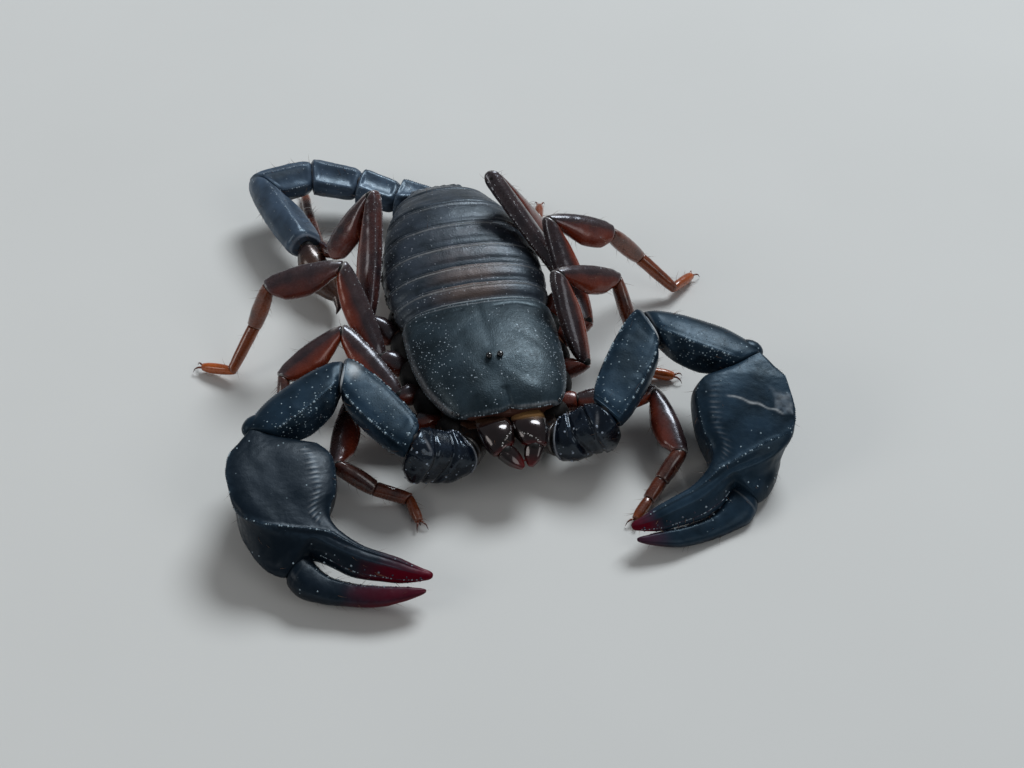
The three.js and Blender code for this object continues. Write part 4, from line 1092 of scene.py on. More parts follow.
# The skin that shows in the groove between two segments.
def softJoint(place, along, size):
    up = unit(worldUp - along * along[2] + np.array([0, 0, 1e-6]))
    axes = np.array([along, np.cross(along, up), up])
    softJoints.append(ball(place, np.array([0.8, 0.95, 0.97]) * size, axes, 10, 18))


def legRelief(kind):
    ridges = {
        "thigh": [*pair(24, 0.03, 11, 0.06, 0.95), (90, -0.015, 13, 0.1, 0.9),
                  *pair(20, 0.03, 12, 0.1, 0.9, 270), (180, -0.02, 25, 0.15, 0.85)],
        "knee": [*pair(20, 0.03, 12, 0.1, 0.9), (215, 0.03, 14, 0.12, 0.88), (270, 0.03, 14, 0.1, 0.9)],
        "shin": [(90, 0.015, 20, 0.1, 0.9), *pair(90, -0.015, 20, 0.15, 0.85)],
        "collar": [(90, 0.02, 25, 0.2, 0.8)],
    }.get(kind, [])

    def relief(t, angle, grid):
        height, mask = keels(t, angle, ridges)
        lip = hump(t, 0.96, 0.02) * ease(200, 160, np.abs(turnFrom(angle, 90)) * 1.6)
        height = height + 0.025 * lip + softNoise(grid, 0.3, 71) * 0.01
        strength = {"thigh": 0.3, "knee": 0.25, "collar": 0.1}.get(kind, 0.15)
        return height, np.clip(strength * mask * (np.sin(np.radians(angle)) > -0.2) + 0.35 * lip, 0, 1)

    return relief


def legMarks(kind):
    def marks(t, angle):
        under = (1 - np.sin(np.radians(angle))) / 2
        strength = legShapes["brown"][kind]
        # The orange second colour on the underside is partly the legs' own paler underside, partly a painted
        # glow of light shining through them.
        tint = strength * ease(0.3 if kind == "knee" else 0.45, 0.85, under)
        if kind in ("shin", "shank", "foot"):
            tint = strength * (0.35 + 0.65 * under) + (0.25 * t if kind == "foot" else 0.0)
        # Pale rims at the far end of each segment, on the upper side only, are partly real joint rims and
        # partly painted highlight.
        pale = 0.7 * hump(t, 0.985, 0.012) if kind in ("thigh", "knee") else 0.5 * hump(t, 1.0, 0.02)
        # A painted highlight on top of the knee's near end.
        kneeHighlight = 0.6 * hump(t, 0.1, 0.05) * hump(under, 0.08, 0.1) if kind == "knee" else 0.0
        return {"tint": tint, "rim": pale * ease(0.7, 0.3, under) + kneeHighlight,
                "hairy": 0.4 + 0.8 * under, "grain": 0.3 * hump(under, 0.12, 0.15) * (kind == "thigh")}

    return marks


def legPart(joints, k, kind, factor, flip, before, after, hint=worldUp):
    rows = withRound(scaledRows(legShapes[kind], factor), 2.25)
    end = joints[k + 1]
    if kind == "foot":
        end = joints[k] + (end - joints[k]) * legShapes["footShare"]
    skin = segment(
        joints[k], end, rows, hint=hint, before=before, after=after, flip=flip, columns=40, step=0.08,
        soften=(0.1, 0.12) if k < 3 else (0.06, 0.06), relief=legRelief(kind), marks=legMarks(kind),
        pinch=0.8 if k < 3 else 0.9,
    )
    softJoint(joints[k], skin["along"], rows[0][2] * 0.9)
    return skin


# A pair of curved claws and a short middle spur at the end of the foot.
def footClaws(skin, joints):
    along, side, up = skin["along"], skin["side"], skin["up"]
    root = joints[5] + (joints[6] - joints[5]) * (legShapes["footShare"] - 0.02)
    parts = []
    for turn in (-1, 1):
        path = [root + side * turn * 0.05, root + along * 0.16 + side * turn * 0.13 + up * 0.07,
                root + along * 0.33 + side * turn * 0.22 + up * 0.04,
                root + along * 0.47 + side * turn * 0.28]
        path[-1][2] = 0.03
        parts.append(tube(path, [0.062, 0.05, 0.034, 0.008], columns=10, rings=16,
                          masks=lambda t, a: {"tint": 0.5 - 0.5 * t, "rim": 0.9 * t}))
    spur = [root, root + along * 0.14 - up * 0.05, root + along * 0.2 - up * 0.1]
    parts.append(tube(spur, [0.06, 0.045, 0.012], columns=8, rings=8))
    return parts


# The back edge of a leg lies on the outside of its bend at the knee.
def buildLeg(name):
    joints = [np.array(j, float) for j in legs[name]]
    size, flip = legShapes["size"][name[1]], name[0] == "r"
    back = unit(joints[2] - joints[1]) - unit(joints[3] - joints[2])
    stout = legShapes["stout"][name[1]]
    collar = legPart(joints, 0, "collar", size, flip, None, joints[2], back)
    thigh = legPart(joints, 1, "thigh", size, flip, joints[0], joints[3], back)
    knee = legPart(joints, 2, "knee", size, flip, joints[1], joints[4], back)
    shin = legPart(joints, 3, "shin", stout, flip, joints[2], joints[5])
    shank = legPart(joints, 4, "shank", stout, flip, joints[3], joints[6])
    foot = legPart(joints, 5, "foot", 1.0, flip, joints[4], None)
    glow, leastGlow = legShapes["glow"].get(name, 0.8), legShapes["leastGlow"].get(name, 0.0)
    # Share of the orange second colour: its strength, then its least and most. The per-leg strengths, r4's
    # raised least and the left collars' least are a painted glow of light shining through the legs, and
    # the right collars' lower least is painted shade.
    for skin, factor, least, most in (
        (collar, 1.0, 0.0 if flip else 0.4, 9.0), (thigh, 1.0, leastGlow, 9.0),
        (knee, legShapes["kneeGlow"].get(name, 1.2), leastGlow, 0.75),
        (shin, glow, 0.0, 1.0), (shank, glow, 0.0, 1.0), (foot, glow, 0.0, 1.0),
    ):
        masks = skin["shell"]["masks"]
        masks["tint"] = np.clip(masks["tint"] * factor, least, most)
    # Granules run along the edge that faces the body.
    inward = np.array([1.0 if flip else -1.0, 0.5, 0.4])
    rows = [rowOn(thigh, 66, 0.1, 0.95), rowOn(thigh, 114, 0.1, 0.95)]
    rows = sorted(rows, key=lambda row: -np.sum(row[1] @ inward))
    parts = [collar["shell"], thigh["shell"], beads(rows[:1], "legs", 0.034, 0.062, 0.45, seed=5),
             beads(rows[1:], "legs", 0.018, 0.09, 0.35, seed=6)]
    title = ("right" if flip else "left") + name[1]
    settle(f"{title}Thigh", parts, "legs", [f"leg_{name}_thigh"], grains(0.12, 0.022, 0.4, 90))
    parts = [knee["shell"], beadsOn(knee, [(215, 0.15, 0.85)], "legs", 0.018, 0.11, 0.3)]
    settle(f"{title}Knee", parts, "legs", [f"leg_{name}_knee"])
    parts = [shin["shell"], shank["shell"], foot["shell"], *footClaws(foot, joints)]
    settle(f"{title}Foot", parts, "feet", [f"leg_{name}_foot"])
    for skin, amount in ((thigh, 0.7), (knee, 0.9), (shin, 1.6), (shank, 2.2), (foot, 2.6)):
        hairSources.append((skin["shell"], amount))


for name in legs:
    buildLeg(name)
print("legs are made")

# Claw arms: their joints, how far the fingers open (part), the turn of the hand (roll), its widths,
# the cross ridges (ladder), where the fingers turn wine red, and the marks of wear.
arms = {
    "right": {
        "side": -1, "hip": (-2.0, -4.25, 1.75), "shoulder": (-4.54, -4.35, 3.1),
        "elbow": (-7.07, -0.1, 3.65), "wrist": (-11.22, -2.62, 3.1), "tip": (-4.84, -10.72, 1.42),
        "part": 0.62, "roll": 0, "drop": 0.25, "breadth": 1.0, "upper": 1.04, "grip": 1.0,
        "ladder": (2.95, 0.16, 0.004, 0.85), "scuff": False, "wine": (7.2, 9.4), "slope": 0.06,
        # The right hand takes the shaded copy of the claw finish, a painted shade.
        "patch": (-6.56, -0.33, 4.35), "hand": "shadedClaws",
    },
    "left": {
        "side": 1, "hip": (2.35, -4.3, 1.75), "shoulder": (4.7, -4.35, 3.0),
        "elbow": (7.88, 0.08, 3.8), "wrist": (12.02, -2.83, 3.4), "tip": (4.5, -9.9, 1.4),
        "part": 0.48, "roll": -15, "drop": 0, "breadth": 0.95, "upper": 1.16, "grip": 1.25,
        "ladder": (3.1, 0.2, 0.004, 0.2), "scuff": True, "wine": (8.9, 10.5), "slope": 0.13,
        "patch": None, "hand": "claws",
    },
}
armShapes = {
    "hip": [[0, 0.85, 0.7, 0.95, -0.1], [0.22, 1.12, 1.0, 1.3, -0.25], [0.48, 1.02, 1.0, 1.5, -0.35],
            [0.72, 1.14, 1.05, 1.6, -0.35], [0.93, 0.98, 0.85, 1.2, -0.2], [1, 0.82, 0.7, 0.95, -0.1]],
    "thigh": [[0, 0.78, 0.6, 0.66], [0.15, 0.95, 0.73, 0.8], [0.45, 1.08, 0.77, 0.86],
              [0.75, 1.14, 0.8, 0.84], [0.93, 1.06, 0.78, 0.78], [1, 0.84, 0.66, 0.66]],
    "shin": [[0, 0.78, 0.66, 0.66], [0.12, 1.02, 0.84, 0.95], [0.35, 1.2, 0.95, 1.15],
             [0.62, 1.24, 0.97, 1.2], [0.86, 1.08, 0.83, 1.0], [1, 0.82, 0.68, 0.72]],
}
# Hand rows: station, offset, heading, inner, outer, lower outer, top, bottom.
handRows = [
    [0.0, 0.0, 28, 0.8, 0.5, 0.5, 0.6, -0.75], [0.45, 0.24, 28, 1.55, 1.15, 1.0, 0.72, -1.35],
    [1.05, 0.52, 28, 2.3, 1.9, 1.5, 0.82, -1.85], [1.95, 0.97, 28, 2.65, 2.3, 1.85, 0.88, -2.15],
    [3.0, 1.5, 25, 2.45, 2.38, 2.2, 0.86, -2.2], [4.0, 1.9, 18, 2.05, 1.9, 2.3, 0.78, -2.05],
    [4.8, 2.05, 4, 1.5, 1.1, 2.3, 0.68, -1.85], [5.3, 2.03, -8, 1.15, 0.66, 2.1, 0.62, -1.6],
    [5.6, 1.96, -12, 0.85, 0.5, 0.85, 0.6, -1.25], [6.3, 1.82, -17, 0.55, 0.44, 0.78, 0.56, -1.0],
    [7.4, 1.5, -24, 0.38, 0.38, 0.88, 0.46, -0.85], [8.7, 0.86, -31, 0.32, 0.34, 0.74, 0.34, -0.66],
    [9.8, 0.3, -35, 0.27, 0.28, 0.55, 0.24, -0.48], [10.45, -0.08, -40, 0.18, 0.16, 0.3, 0.14, -0.26],
]
# Moving finger rows: station, offset, heading, half width, height, depth, level.
thumbRows = [
    [5.46, 3.28, -4, 0.78, 0.7, 0.78, -1.03], [5.84, 3.42, -8, 0.85, 0.73, 0.81, -1.05],
    [6.35, 3.52, -16, 0.8, 0.7, 0.8, -1.05], [7.2, 3.34, -28, 0.62, 0.56, 0.66, -1.0],
    [8.2, 2.86, -33, 0.52, 0.44, 0.52, -0.86], [9.3, 2.12, -38, 0.46, 0.38, 0.46, -0.62],
    [10.2, 1.24, -42, 0.36, 0.3, 0.34, -0.38], [10.72, 0.64, -46, 0.18, 0.14, 0.16, -0.24],
]
thumbPivot = (5.84, 3.42)
handCorners = 14
# Where the crest of each hand runs: stations, and corners counted round the ring.
handCrest = {
    "right": ([0.0, 2.5, 3.3, 4.1, 5.0, 5.6, 6.1, 10.5], [0.0, -0.1, -0.4, 0.1, 1.0, 1.75, 2.3, 2.3]),
    "left": ([0.0, 2.6, 3.4, 3.9, 4.4, 5.1, 5.6, 6.1, 10.5],
             [0.0, -0.1, 0.4, 1.0, 1.35, 1.8, 2.1, 2.4, 2.4]),
}


def handFrame(arm):
    wrist, tip = np.array(arm["wrist"]), np.array(arm["tip"])
    along = unit(tip - wrist)
    out = unit(np.array([-along[1], along[0], 0.0]))
    out = out if out[0] * arm["side"] > 0 else -out
    up = np.cross(along, out)
    up = up if up[2] > 0 else -up
    return wrist, along, *rolled(out, up, arm["roll"])


# Corners between two places round a hand, the short way.
def cornersFrom(q, place):
    return (q - place + handCorners / 2) % handCorners - handCorners / 2


# The blunt round end of a claw finger.
tipSteps = np.array([0.8, 0.6, 0.42, 0.27, 0.15, 0.07, 0.02, 0.0])


def tipRound(station, end):
    back = np.clip(1 - (end - station) / 0.22, 0, 1)
    return 0.3 + 0.7 * np.sqrt(1 - back * back)


# Smooth closed curve through the corners of every ring, (rings, corners, 2).
def roundTheRing(corners, columns):
    count = corners.shape[1]
    q = np.arange(columns) * count / columns
    k = np.floor(q).astype(int)
    u = (q - k)[None, :, None]
    p0, p1, p2, p3 = (corners[:, (k + step) % count] for step in (-1, 0, 1, 2))
    curve = 0.5 * (2 * p1 + (p2 - p0) * u + (2 * p0 - 5 * p1 + 4 * p2 - p3) * u**2
                   + (3 * p1 - p0 - 3 * p2 + p3) * u**3)
    return curve, q


# Where the first knuckle would lie: a hand leaves the wrist towards it.
def knuckleOf(arm):
    wrist, along, out, up = handFrame(arm)
    return wrist + along + out * 0.53 - up * 0.1


# The plain rings of a hand with its fixed finger, and what the rest is measured by.
def handGrid(arm, columns):
    wrist, along, out, up = handFrame(arm)
    station = np.concatenate([
        np.linspace(0, 5.8, 210), np.linspace(5.84, 10.2, 88), 10.45 - 0.22 * tipSteps,
    ])
    found = throughRows(handRows, station).T
    offset, heading = found[0], np.radians(found[1])
    inner, outer, low = (found[i] * arm["breadth"] for i in (2, 3, 4))
    low = low * (1 + (arm["grip"] - 1) * (np.clip(station - 6.3, 0, 1) + 1.5 * hump(station, 6.4, 0.6)))
    top, bottom = found[5], found[6]
    deep = top - bottom
    corners = np.array([
        [outer, top - deep * 0.05], [outer * 0.55, top], [outer * 0, top],
        [-inner * 0.6, top - deep * 0.02],
        [-inner * 0.92, top - deep * 0.1], [-inner, top - deep * 0.28], [-inner * 0.95, top - deep * 0.55],
        [-inner * 0.8, bottom + deep * 0.16], [-inner * 0.45, bottom + deep * 0.03], [low * 0.3, bottom],
        [low * 0.75, bottom + deep * 0.06], [low * 0.98, bottom + deep * 0.24],
        [np.maximum(low, outer * 0.9), bottom + deep * 0.45],
        [(low + outer) / 2 + 0.04, bottom + deep * 0.72],
    ]).transpose(2, 0, 1)
    curve, q = roundTheRing(corners, columns)
    middle = curve.mean(axis=1, keepdims=True)
    slim = tipRound(station, 10.45) * (1 - 0.34 * ease(9.0, 10.45, station))
    curve = middle + (curve - middle) * slim[:, None, None]
    x, z = curve[..., 0], curve[..., 1]
    a = station[:, None] - x * np.sin(heading)[:, None]
    c = offset[:, None] + x * np.cos(heading)[:, None]
    grid = wrist + a[..., None] * along + c[..., None] * out + z[..., None] * up
    # The root is drawn back to the mitre plane shared with the forearm.
    lead = unit(knuckleOf(arm) - wrist)
    mitre = unit(unit(wrist - np.array(arm["elbow"])) + lead)
    seat = [[0, 1], [0.45, 0.72], [1.05, 0.38], [1.95, 0.1], [3.0, 0]]
    seat = throughRows(seat, np.minimum(station, seat[-1][0]))
    need = (0.015 - (grid[0] - wrist) @ mitre) / (lead @ mitre)
    grid = grid + (seat * need[None, :])[..., None] * lead
    s, q = np.meshgrid(station, q, indexing="ij")
    return grid, station, s, q, lead


def buildHand(name, arm):
    columns, corner = 12 * handCorners, 360 / handCorners
    grid, station, s, q, lead = handGrid(arm, columns)

    def nearCorner(place, width):
        return hump(cornersFrom(q, place), 0, width)

    palm = within(s, 0.5, 1.1, 5.0, 5.9)
    finger = ease(5.2, 6.2, s)
    crest = np.interp(station, *handCrest[name])[:, None]
    fromCrest = cornersFrom(q, crest)
    outerKeel = hump(fromCrest, 0, 0.22) * within(s, 0.4, 0.9, 9.0, 10.3)
    edgeKeel = nearCorner(0.0, 0.25) * within(s, 3.6, 4.4, 8.5, 10.0)
    beyond = within(-fromCrest, 0.05, 0.8, 2.4, 3.2) * within(s, 3.2, 4.6, 6.0, 7.5)
    lowKeel = nearCorner(11.4, 0.4) * within(s, 0.8, 1.6, 4.9, 5.6)
    hinge = nearCorner(11.3, 0.25) * within(s, 5.4, 5.8, 6.4, 7.2)
    ladder, wide, deepness, paleness = arm["ladder"]
    ladder = ladder - 0.5 * ease(3.4, 5.0, s)
    band = hump(q, ladder, wide) * within(s, 1.0, 1.8, 5.1, 5.7)
    scales = np.sin(s * 2 * np.pi / 0.27 + 0.9 * np.sin(q * 3) + 1.2 * softNoise(grid, 0.5, 88))
    rungs = band * ease(0.1, 0.8, scales) * (0.55 + 0.5 * softNoise(grid, 0.4, 89))
    innerKeel = nearCorner(4.1, 0.3) * palm
    hollow = within(q, 0.6, 1.3, 1.9, 2.6) * within(s, 0.8, 2.0, 3.8, 5.0)
    outerFace = within(q, 11.2, 12.0, 13.4, 14.0) * palm
    height = 0.045 * outerKeel + 0.03 * edgeKeel + 0.035 * innerKeel + 0.04 * lowKeel - arm["slope"] * beyond
    height = height + deepness * band * scales + 0.012 * band - 0.04 * hollow
    height = height + 0.03 * outerFace * softNoise(grid, 0.35, 81) + 0.012 * softNoise(grid, 0.6, 82)
    height = height + 0.004 * softNoise(grid, 0.14, 83)
    start = ease(0.02, 0.35, s)
    grid = aboveFloor(grid + gridNormals(grid) * (height * start)[..., None])
    lowerSide = ease(3.6, 5.2, q)
    worn, patch = 0.0, 0.0
    if arm["scuff"]:
        wiggle = 0.035 * np.sin(q * 9) + 0.05 * softNoise(grid, 0.35, 90)
        mark = hump(s - 2.68 + 0.225 * q + wiggle, 0.0, 0.045 + 0.02 * softNoise(grid, 0.3, 84))
        mark = mark * within(q, 0.55, 0.75, 2.5, 2.7) * (0.75 + 0.4 * softNoise(grid, 0.22, 79))
        edge = 0.15 * softNoise(grid, 0.35, 78)
        patch = within(q + edge, 0.1, 0.25, 0.9, 1.1)
        patch = patch * ease(1.5, 1.7, s - edge) * ease(2.65, 2.45, s + edge)
        worn = np.clip(1.1 * mark + 0.3 * patch * (0.7 + 0.6 * softNoise(grid, 0.2, 87)), 0, 1)
    wine = 1.15 * ease(*arm["wine"], s) * (0.25 + 0.75 * lowerSide) + 0.5 * ease(9.3, 10.4, s)
    masks = {
        "tint": np.clip(wine, 0, 1),
        "ridge": np.clip(0.35 * outerKeel + 0.25 * edgeKeel + 0.25 * innerKeel + 0.7 * hinge + 0.4 * band
                         + 0.9 * patch, 0, 1),
        "grain": np.clip(0.02 + 0.1 * outerFace + 0.3 * hump(fromCrest, 0.0, 0.4) * palm, 0, 1) * start,
        "hairy": 0.12 + 0.6 * lowerSide * (0.3 + finger),
        "rim": np.maximum(worn, paleness * rungs),
    }
    skin = skinOf(grid, masks, station, np.arange(columns) * 360 / columns)
    # Granules follow the crest from the wrist to the root of the fixed finger.
    rings = np.where((station >= 0.6) & (station <= 5.9))[0]
    places = np.interp(station[rings], *handCrest[name]) * columns / handCorners
    places = np.round(places).astype(int) % columns
    crestLine = skin["grid"][rings, places], skin["normals"][rings, places]
    parts = [skin["shell"], beads([crestLine], "claws", 0.034, 0.1, 0.5, seed=1)]
    # Rows of grains and teeth: corners and where they run, size, spacing, unevenness, redness.
    for seed, rows, size, spacing, uneven, tint in (
        (2, [(4.1, 0.9, 5.2)], 0.024, 0.12, 0.4, 0.0), (3, [(12.4, 6.0, 10.1)], 0.03, 0.07, 0.2, 0.5),
        (4, [(12.9, 6.2, 10.0), (11.6, 6.2, 10.0)], 0.055, 0.55, 0.15, 0.3),
        (5, [(2.3, 5.8, 9.6)], 0.024, 0.13, 0.4, 0.0),
    ):
        rows = [(place * corner, begin, finish) for place, begin, finish in rows]
        parts.append(beadsOn(skin, rows, "claws", size, spacing, uneven, seed, tint))
    hairSources.append((skin["shell"], 0.8))
    settle(f"{name}Hand", parts, arm["hand"], [f"arm_{name}_hand"], grains(0.24, 0.032, 0.55, 120))
    softJoint(np.array(arm["wrist"]), lead, 0.56)


def buildThumb(name, arm):
    wrist, along, out, up = handFrame(arm)
    swing = (arm["part"] - 0.62) / 5.2
    columns = 52
    station = np.concatenate([
        np.linspace(5.46, 5.8, 12), np.linspace(5.86, 10.48, 96), 10.72 - 0.22 * tipSteps,
    ])
    offset, heading, w, high, low, level = throughRows(thumbRows, station).T
    angle = np.arange(columns) * 2 * np.pi / columns
    rise = np.sin(angle)[None, :]
    x = w[:, None] * power(np.cos(angle)[None, :], 2 / 2.3)
    x = np.where(x < 0, x * (1 + (arm["grip"] - 1) * 1.3 * hump(station, 6.7, 0.7))[:, None], x)
    z = power(rise, 2 / 2.3) * np.where(rise > 0, high[:, None], low[:, None])
    squash = (0.85 + 0.15 * ease(5.46, 5.66, station)) * tipRound(station, 10.72)
    squash = squash * (1 - 0.3 * ease(9.4, 10.72, station))
    x, z = x * squash[:, None], z * squash[:, None]
    turn = np.radians(heading)[:, None]
    da = station[:, None] - x * np.sin(turn) - thumbPivot[0]
    dc = offset[:, None] + x * np.cos(turn) - thumbPivot[1]
    a = thumbPivot[0] + da + dc * swing
    c = thumbPivot[1] + dc - da * abs(swing)
    grid = wrist + a[..., None] * along + c[..., None] * out + (level[:, None] + z)[..., None] * up
    degrees = np.degrees(angle)
    s, deg = np.meshgrid(station, degrees, indexing="ij")
    begin = ease(5.95, 6.5, s)
    topKeel = around(deg, 118, 13) * begin * ease(10.6, 9.8, s)
    outKeel = around(deg, 30, 15) * begin * ease(10.5, 9.4, s)
    height = 0.035 * topKeel + 0.025 * outKeel - 0.015 * around(deg, 75, 18) * begin
    height = height + 0.012 * softNoise(grid, 0.4, 85) + 0.005 * softNoise(grid, 0.13, 86)
    grid = aboveFloor(grid + gridNormals(grid) * height[..., None])
    redness, paleness = (0.8, 0.3) if arm["scuff"] else (1.2, 0.05)
    wine = redness * ease(arm["wine"][0] + 0.3, arm["wine"][1] + 0.3, s)
    masks = {
        "tint": np.clip(wine * (0.45 + 0.55 * ease(40, 120, np.abs(turnFrom(deg, 80)))), 0, 1),
        "ridge": np.clip(0.35 * topKeel + 0.2 * outKeel, 0, 1),
        "rim": paleness * hump(s, 5.98, 0.03) * ease(100, 30, np.abs(turnFrom(deg, 70))),
        "grain": 0.1 * around(deg, 45, 40) * ease(8.5, 6.5, s) * begin,
        "hairy": 0.3 + 0.4 * ease(180, 270, deg),
    }
    skin = skinOf(grid, masks, station, degrees)
    parts = [
        skin["shell"], beadsOn(skin, [(160, 6.5, 10.3)], "claws", 0.03, 0.07, 0.2, 7, 0.5),
        beadsOn(skin, [(138, 6.6, 10.2)], "claws", 0.055, 0.5, 0.15, 8, 0.3),
        beadsOn(skin, [(118, 6.3, 9.8)], "claws", 0.022, 0.12, 0.4, 9),
    ]
    hairSources.append((skin["shell"], 0.9))
    settle(f"{name}Thumb", parts, arm["hand"], [f"arm_{name}_thumb"], grains(0.16, 0.028, 0.4, 130))
    root = wrist + (thumbPivot[0] - 0.15) * along + (thumbPivot[1] - 0.1) * out - 1.1 * up
    softJoints.append(ball(root, (0.66, 0.66, 0.7), rings=14, columns=24))


def hipRelief(t, angle, grid):
    lean = 0.0006 * turnFrom(angle, 90)
    seams = 0.11 * hump(t + lean, 0.36, 0.03) + 0.09 * hump(t - lean, 0.68, 0.026)
    edges = hump(t + lean, 0.3, 0.028) + hump(t - lean, 0.74, 0.028) + hump(t, 0.07, 0.025)
    long, mask = keels(t, angle, [
        (60, 0.06, 12, 0.4, 0.62), (115, 0.06, 12, 0.1, 0.6), (20, 0.05, 14, 0.72, 0.95),
    ])
    lumps = 0.075 * softNoise(grid, 0.62, 91) + 0.018 * softNoise(grid, 0.3, 92)
    return 0.8 * long - 0.8 * seams + 0.03 * edges + lumps, np.clip(0.3 * edges + 0.3 * mask, 0, 1)


def armThighRelief(t, angle, grid):
    height, mask = keels(t, angle, [
        *pair(52, 0.05, 8, 0.06, 0.93), (90, -0.05, 30, 0.12, 0.9), (0, 0.03, 16, 0.1, 0.9),
        *pair(55, 0.04, 9, 0.08, 0.92, 270),
    ])
    fold = around(angle, 62 - 30 * t, 7) * within(t, 0.1, 0.25, 0.5, 0.7)
    lip = hump(t, 0.955, 0.014)
    height = height + 0.022 * fold + 0.04 * lip + 0.01 * softNoise(grid, 0.4, 93)
    return height, np.clip(0.45 * mask + 0.2 * fold + 0.3 * lip, 0, 1)


def armShinRelief(t, angle, grid):
    height, mask = keels(t, angle, [
        (57, 0.055, 8, 0.08, 0.92), (150, 0.045, 9, 0.08, 0.92), (104, -0.03, 26, 0.15, 0.85),
        (330, 0.05, 10, 0.1, 0.9), (5, -0.05, 16, 0.3, 0.9), (225, 0.04, 10, 0.08, 0.9),
    ])
    spur = around(angle, 12, 26) * hump(t, 0.22, 0.09)
    inner = around(angle, 10, 34)
    height = height + 0.18 * spur + 0.04 * inner * softNoise(grid, 0.3, 94)
    height = height + 0.01 * softNoise(grid, 0.45, 95)
    return height, np.clip(0.45 * mask + 0.4 * spur, 0, 1)


def armMarks(kind):
    def marks(t, angle):
        dorsal = np.exp(-((turnFrom(angle, 90) / 60) ** 4))
        facing = around(angle, 20, 45)
        crests = hump(np.abs(turnFrom(angle, 90)), 48, 14)
        grain = {"hip": 0.16, "thigh": (0.22 + 0.35 * crests) * dorsal + 0.1,
                 "shin": 0.1 * dorsal + 0.7 * facing + 0.4 * around(angle, 57, 18)}[kind]
        seam = hump(turnFrom(angle, 60) - 240 * (t - 0.79), 0, 5) * hump(t, 0.79, 0.06)
        # The thigh's pale ring near its far end, on the upper side, is partly a painted highlight.
        rim = {"hip": 0.5 * hump(t, 0.06, 0.014) + 0.6 * seam,
               "thigh": 0.85 * hump(t, 0.972, 0.01) * around(angle, 62, 48),
               "shin": 0.25 * hump(t, 0.02, 0.012)}
        return {"grain": grain * within(t, 0.03, 0.08, 0.93, 0.98), "rim": rim[kind],
                "hairy": 0.25 + 0.3 * (1 - dorsal)}

    return marks


def buildArm(name, arm):
    hip, shoulder, elbow, wrist = (np.array(arm[k]) for k in ("hip", "shoulder", "elbow", "wrist"))
    flip = arm["side"] < 0
    root = np.array([arm["side"], -1.9, 1.5])
    hipRows = [[*r[:3], r[3] + arm["drop"] * math.sin(math.pi * r[0]), r[4]] for r in armShapes["hip"]]
    common = {"flip": flip, "columns": 84, "step": 0.045}
    hipSkin = segment(hip, shoulder, withRound(hipRows, 2.3), before=root, after=elbow,
                      soften=(0.16, 0.16), relief=hipRelief, marks=armMarks("hip"), **common)
    thighRows = [[r[0], r[1] * arm["upper"], *r[2:]] for r in armShapes["thigh"]]
    thigh = segment(shoulder, elbow, withRound(thighRows, 3.1, 2.4), before=hip, after=wrist,
                    soften=(0.14, 0.16), relief=armThighRelief, marks=armMarks("thigh"), **common)
    shin = segment(elbow, wrist, withRound(armShapes["shin"], 2.8, 2.3), before=shoulder,
                   after=knuckleOf(arm), soften=(0.15, 0.15), relief=armShinRelief,
                   marks=armMarks("shin"), **common)
    # A pale rim arcs round the hip's near end; its paleness is partly a painted highlight.
    keep = np.abs(turnFrom(hipSkin["angle"], 70)) < 85
    ring = hipSkin["grid"][ringAt(hipSkin, 0.07), keep]
    order = np.argsort(turnFrom(hipSkin["angle"][keep], 70))
    arc = ring[order][:: max(1, len(order) // 9)]
    parts = [hipSkin["shell"], beadsOn(hipSkin, [(115, 0.1, 0.6)], "hips", 0.045, 0.13, 0.5, 14),
             tube(arc, 0.05, rings=70, columns=8, masks=lambda t, a: {"rim": 0.6, "ridge": 1.0})]
    settle(f"{name}ArmHip", parts, "hips", [f"arm_{name}_hip"], grains(0.22, 0.045, 0.6, 140))
    keep = (thigh["angle"] > 35) & (thigh["angle"] < 145)
    ring = ringAt(thigh, 0.06)
    edge = thigh["grid"][ring, keep], thigh["normals"][ring, keep]
    parts = [thigh["shell"],
             beadsOn(thigh, [(38, 0.08, 0.93), (142, 0.08, 0.93)], "claws", 0.046, 0.11, 0.45, 15),
             beadsOn(thigh, [(325, 0.1, 0.9), (215, 0.1, 0.9)], "claws", 0.036, 0.11, 0.35, 16),
             beads([edge], "claws", 0.044, 0.11, 0.45, seed=17)]
    if arm["patch"]:
        spotOn(thigh["shell"], arm["patch"], (0.26, 0.4, 0.6), 1.5)
    # Pale lip round the far end, on its upper side; its paleness is partly a painted highlight.
    keep = (thigh["angle"] > 5) & (thigh["angle"] < 100)
    lipRing = thigh["grid"][ringAt(thigh, 0.965), keep]
    parts.append(tube(lipRing[:: max(1, len(lipRing) // 9)], 0.07, rings=60, columns=8,
                      masks=lambda t, a: {"rim": 1.3 * hump(t, 0.5, 0.4), "ridge": 1.0}))
    settle(f"{name}ArmThigh", parts, "claws", [f"arm_{name}_thigh"], grains(0.13, 0.025, 0.65, 141))
    # Knob on the outer side of the wrist.
    side = -shin["side"] if not flip else shin["side"]
    knob = wrist - shin["along"] * 0.12 + side * 0.64 + shin["up"] * 0.2
    axes = np.array([shin["along"], side, shin["up"]])
    parts = [shin["shell"], beadsOn(shin, [(57, 0.1, 0.92)], "claws", 0.044, 0.1, 0.5, 18),
             beadsOn(shin, [(150, 0.1, 0.92), (330, 0.12, 0.9)], "claws", 0.03, 0.11, 0.35, 19),
             ball(knob, (0.66, 0.5, 0.48), axes, 20, 32, {"ridge": 0.08, "grain": 0.2})]
    settle(f"{name}ArmShin", parts, "claws", [f"arm_{name}_shin"], grains(0.13, 0.026, 0.65, 142))
    for skin in (hipSkin, thigh, shin):
        hairSources.append((skin["shell"], 0.5))
    softJoint(hip, hipSkin["along"], 0.74)
    softJoint(shoulder, thigh["along"], 0.6)
    softJoint(elbow, shin["along"], 0.62)


for name, arm in arms.items():
    buildArm(name, arm)
    buildHand(name, arm)
    buildThumb(name, arm)
print("claw arms are made")

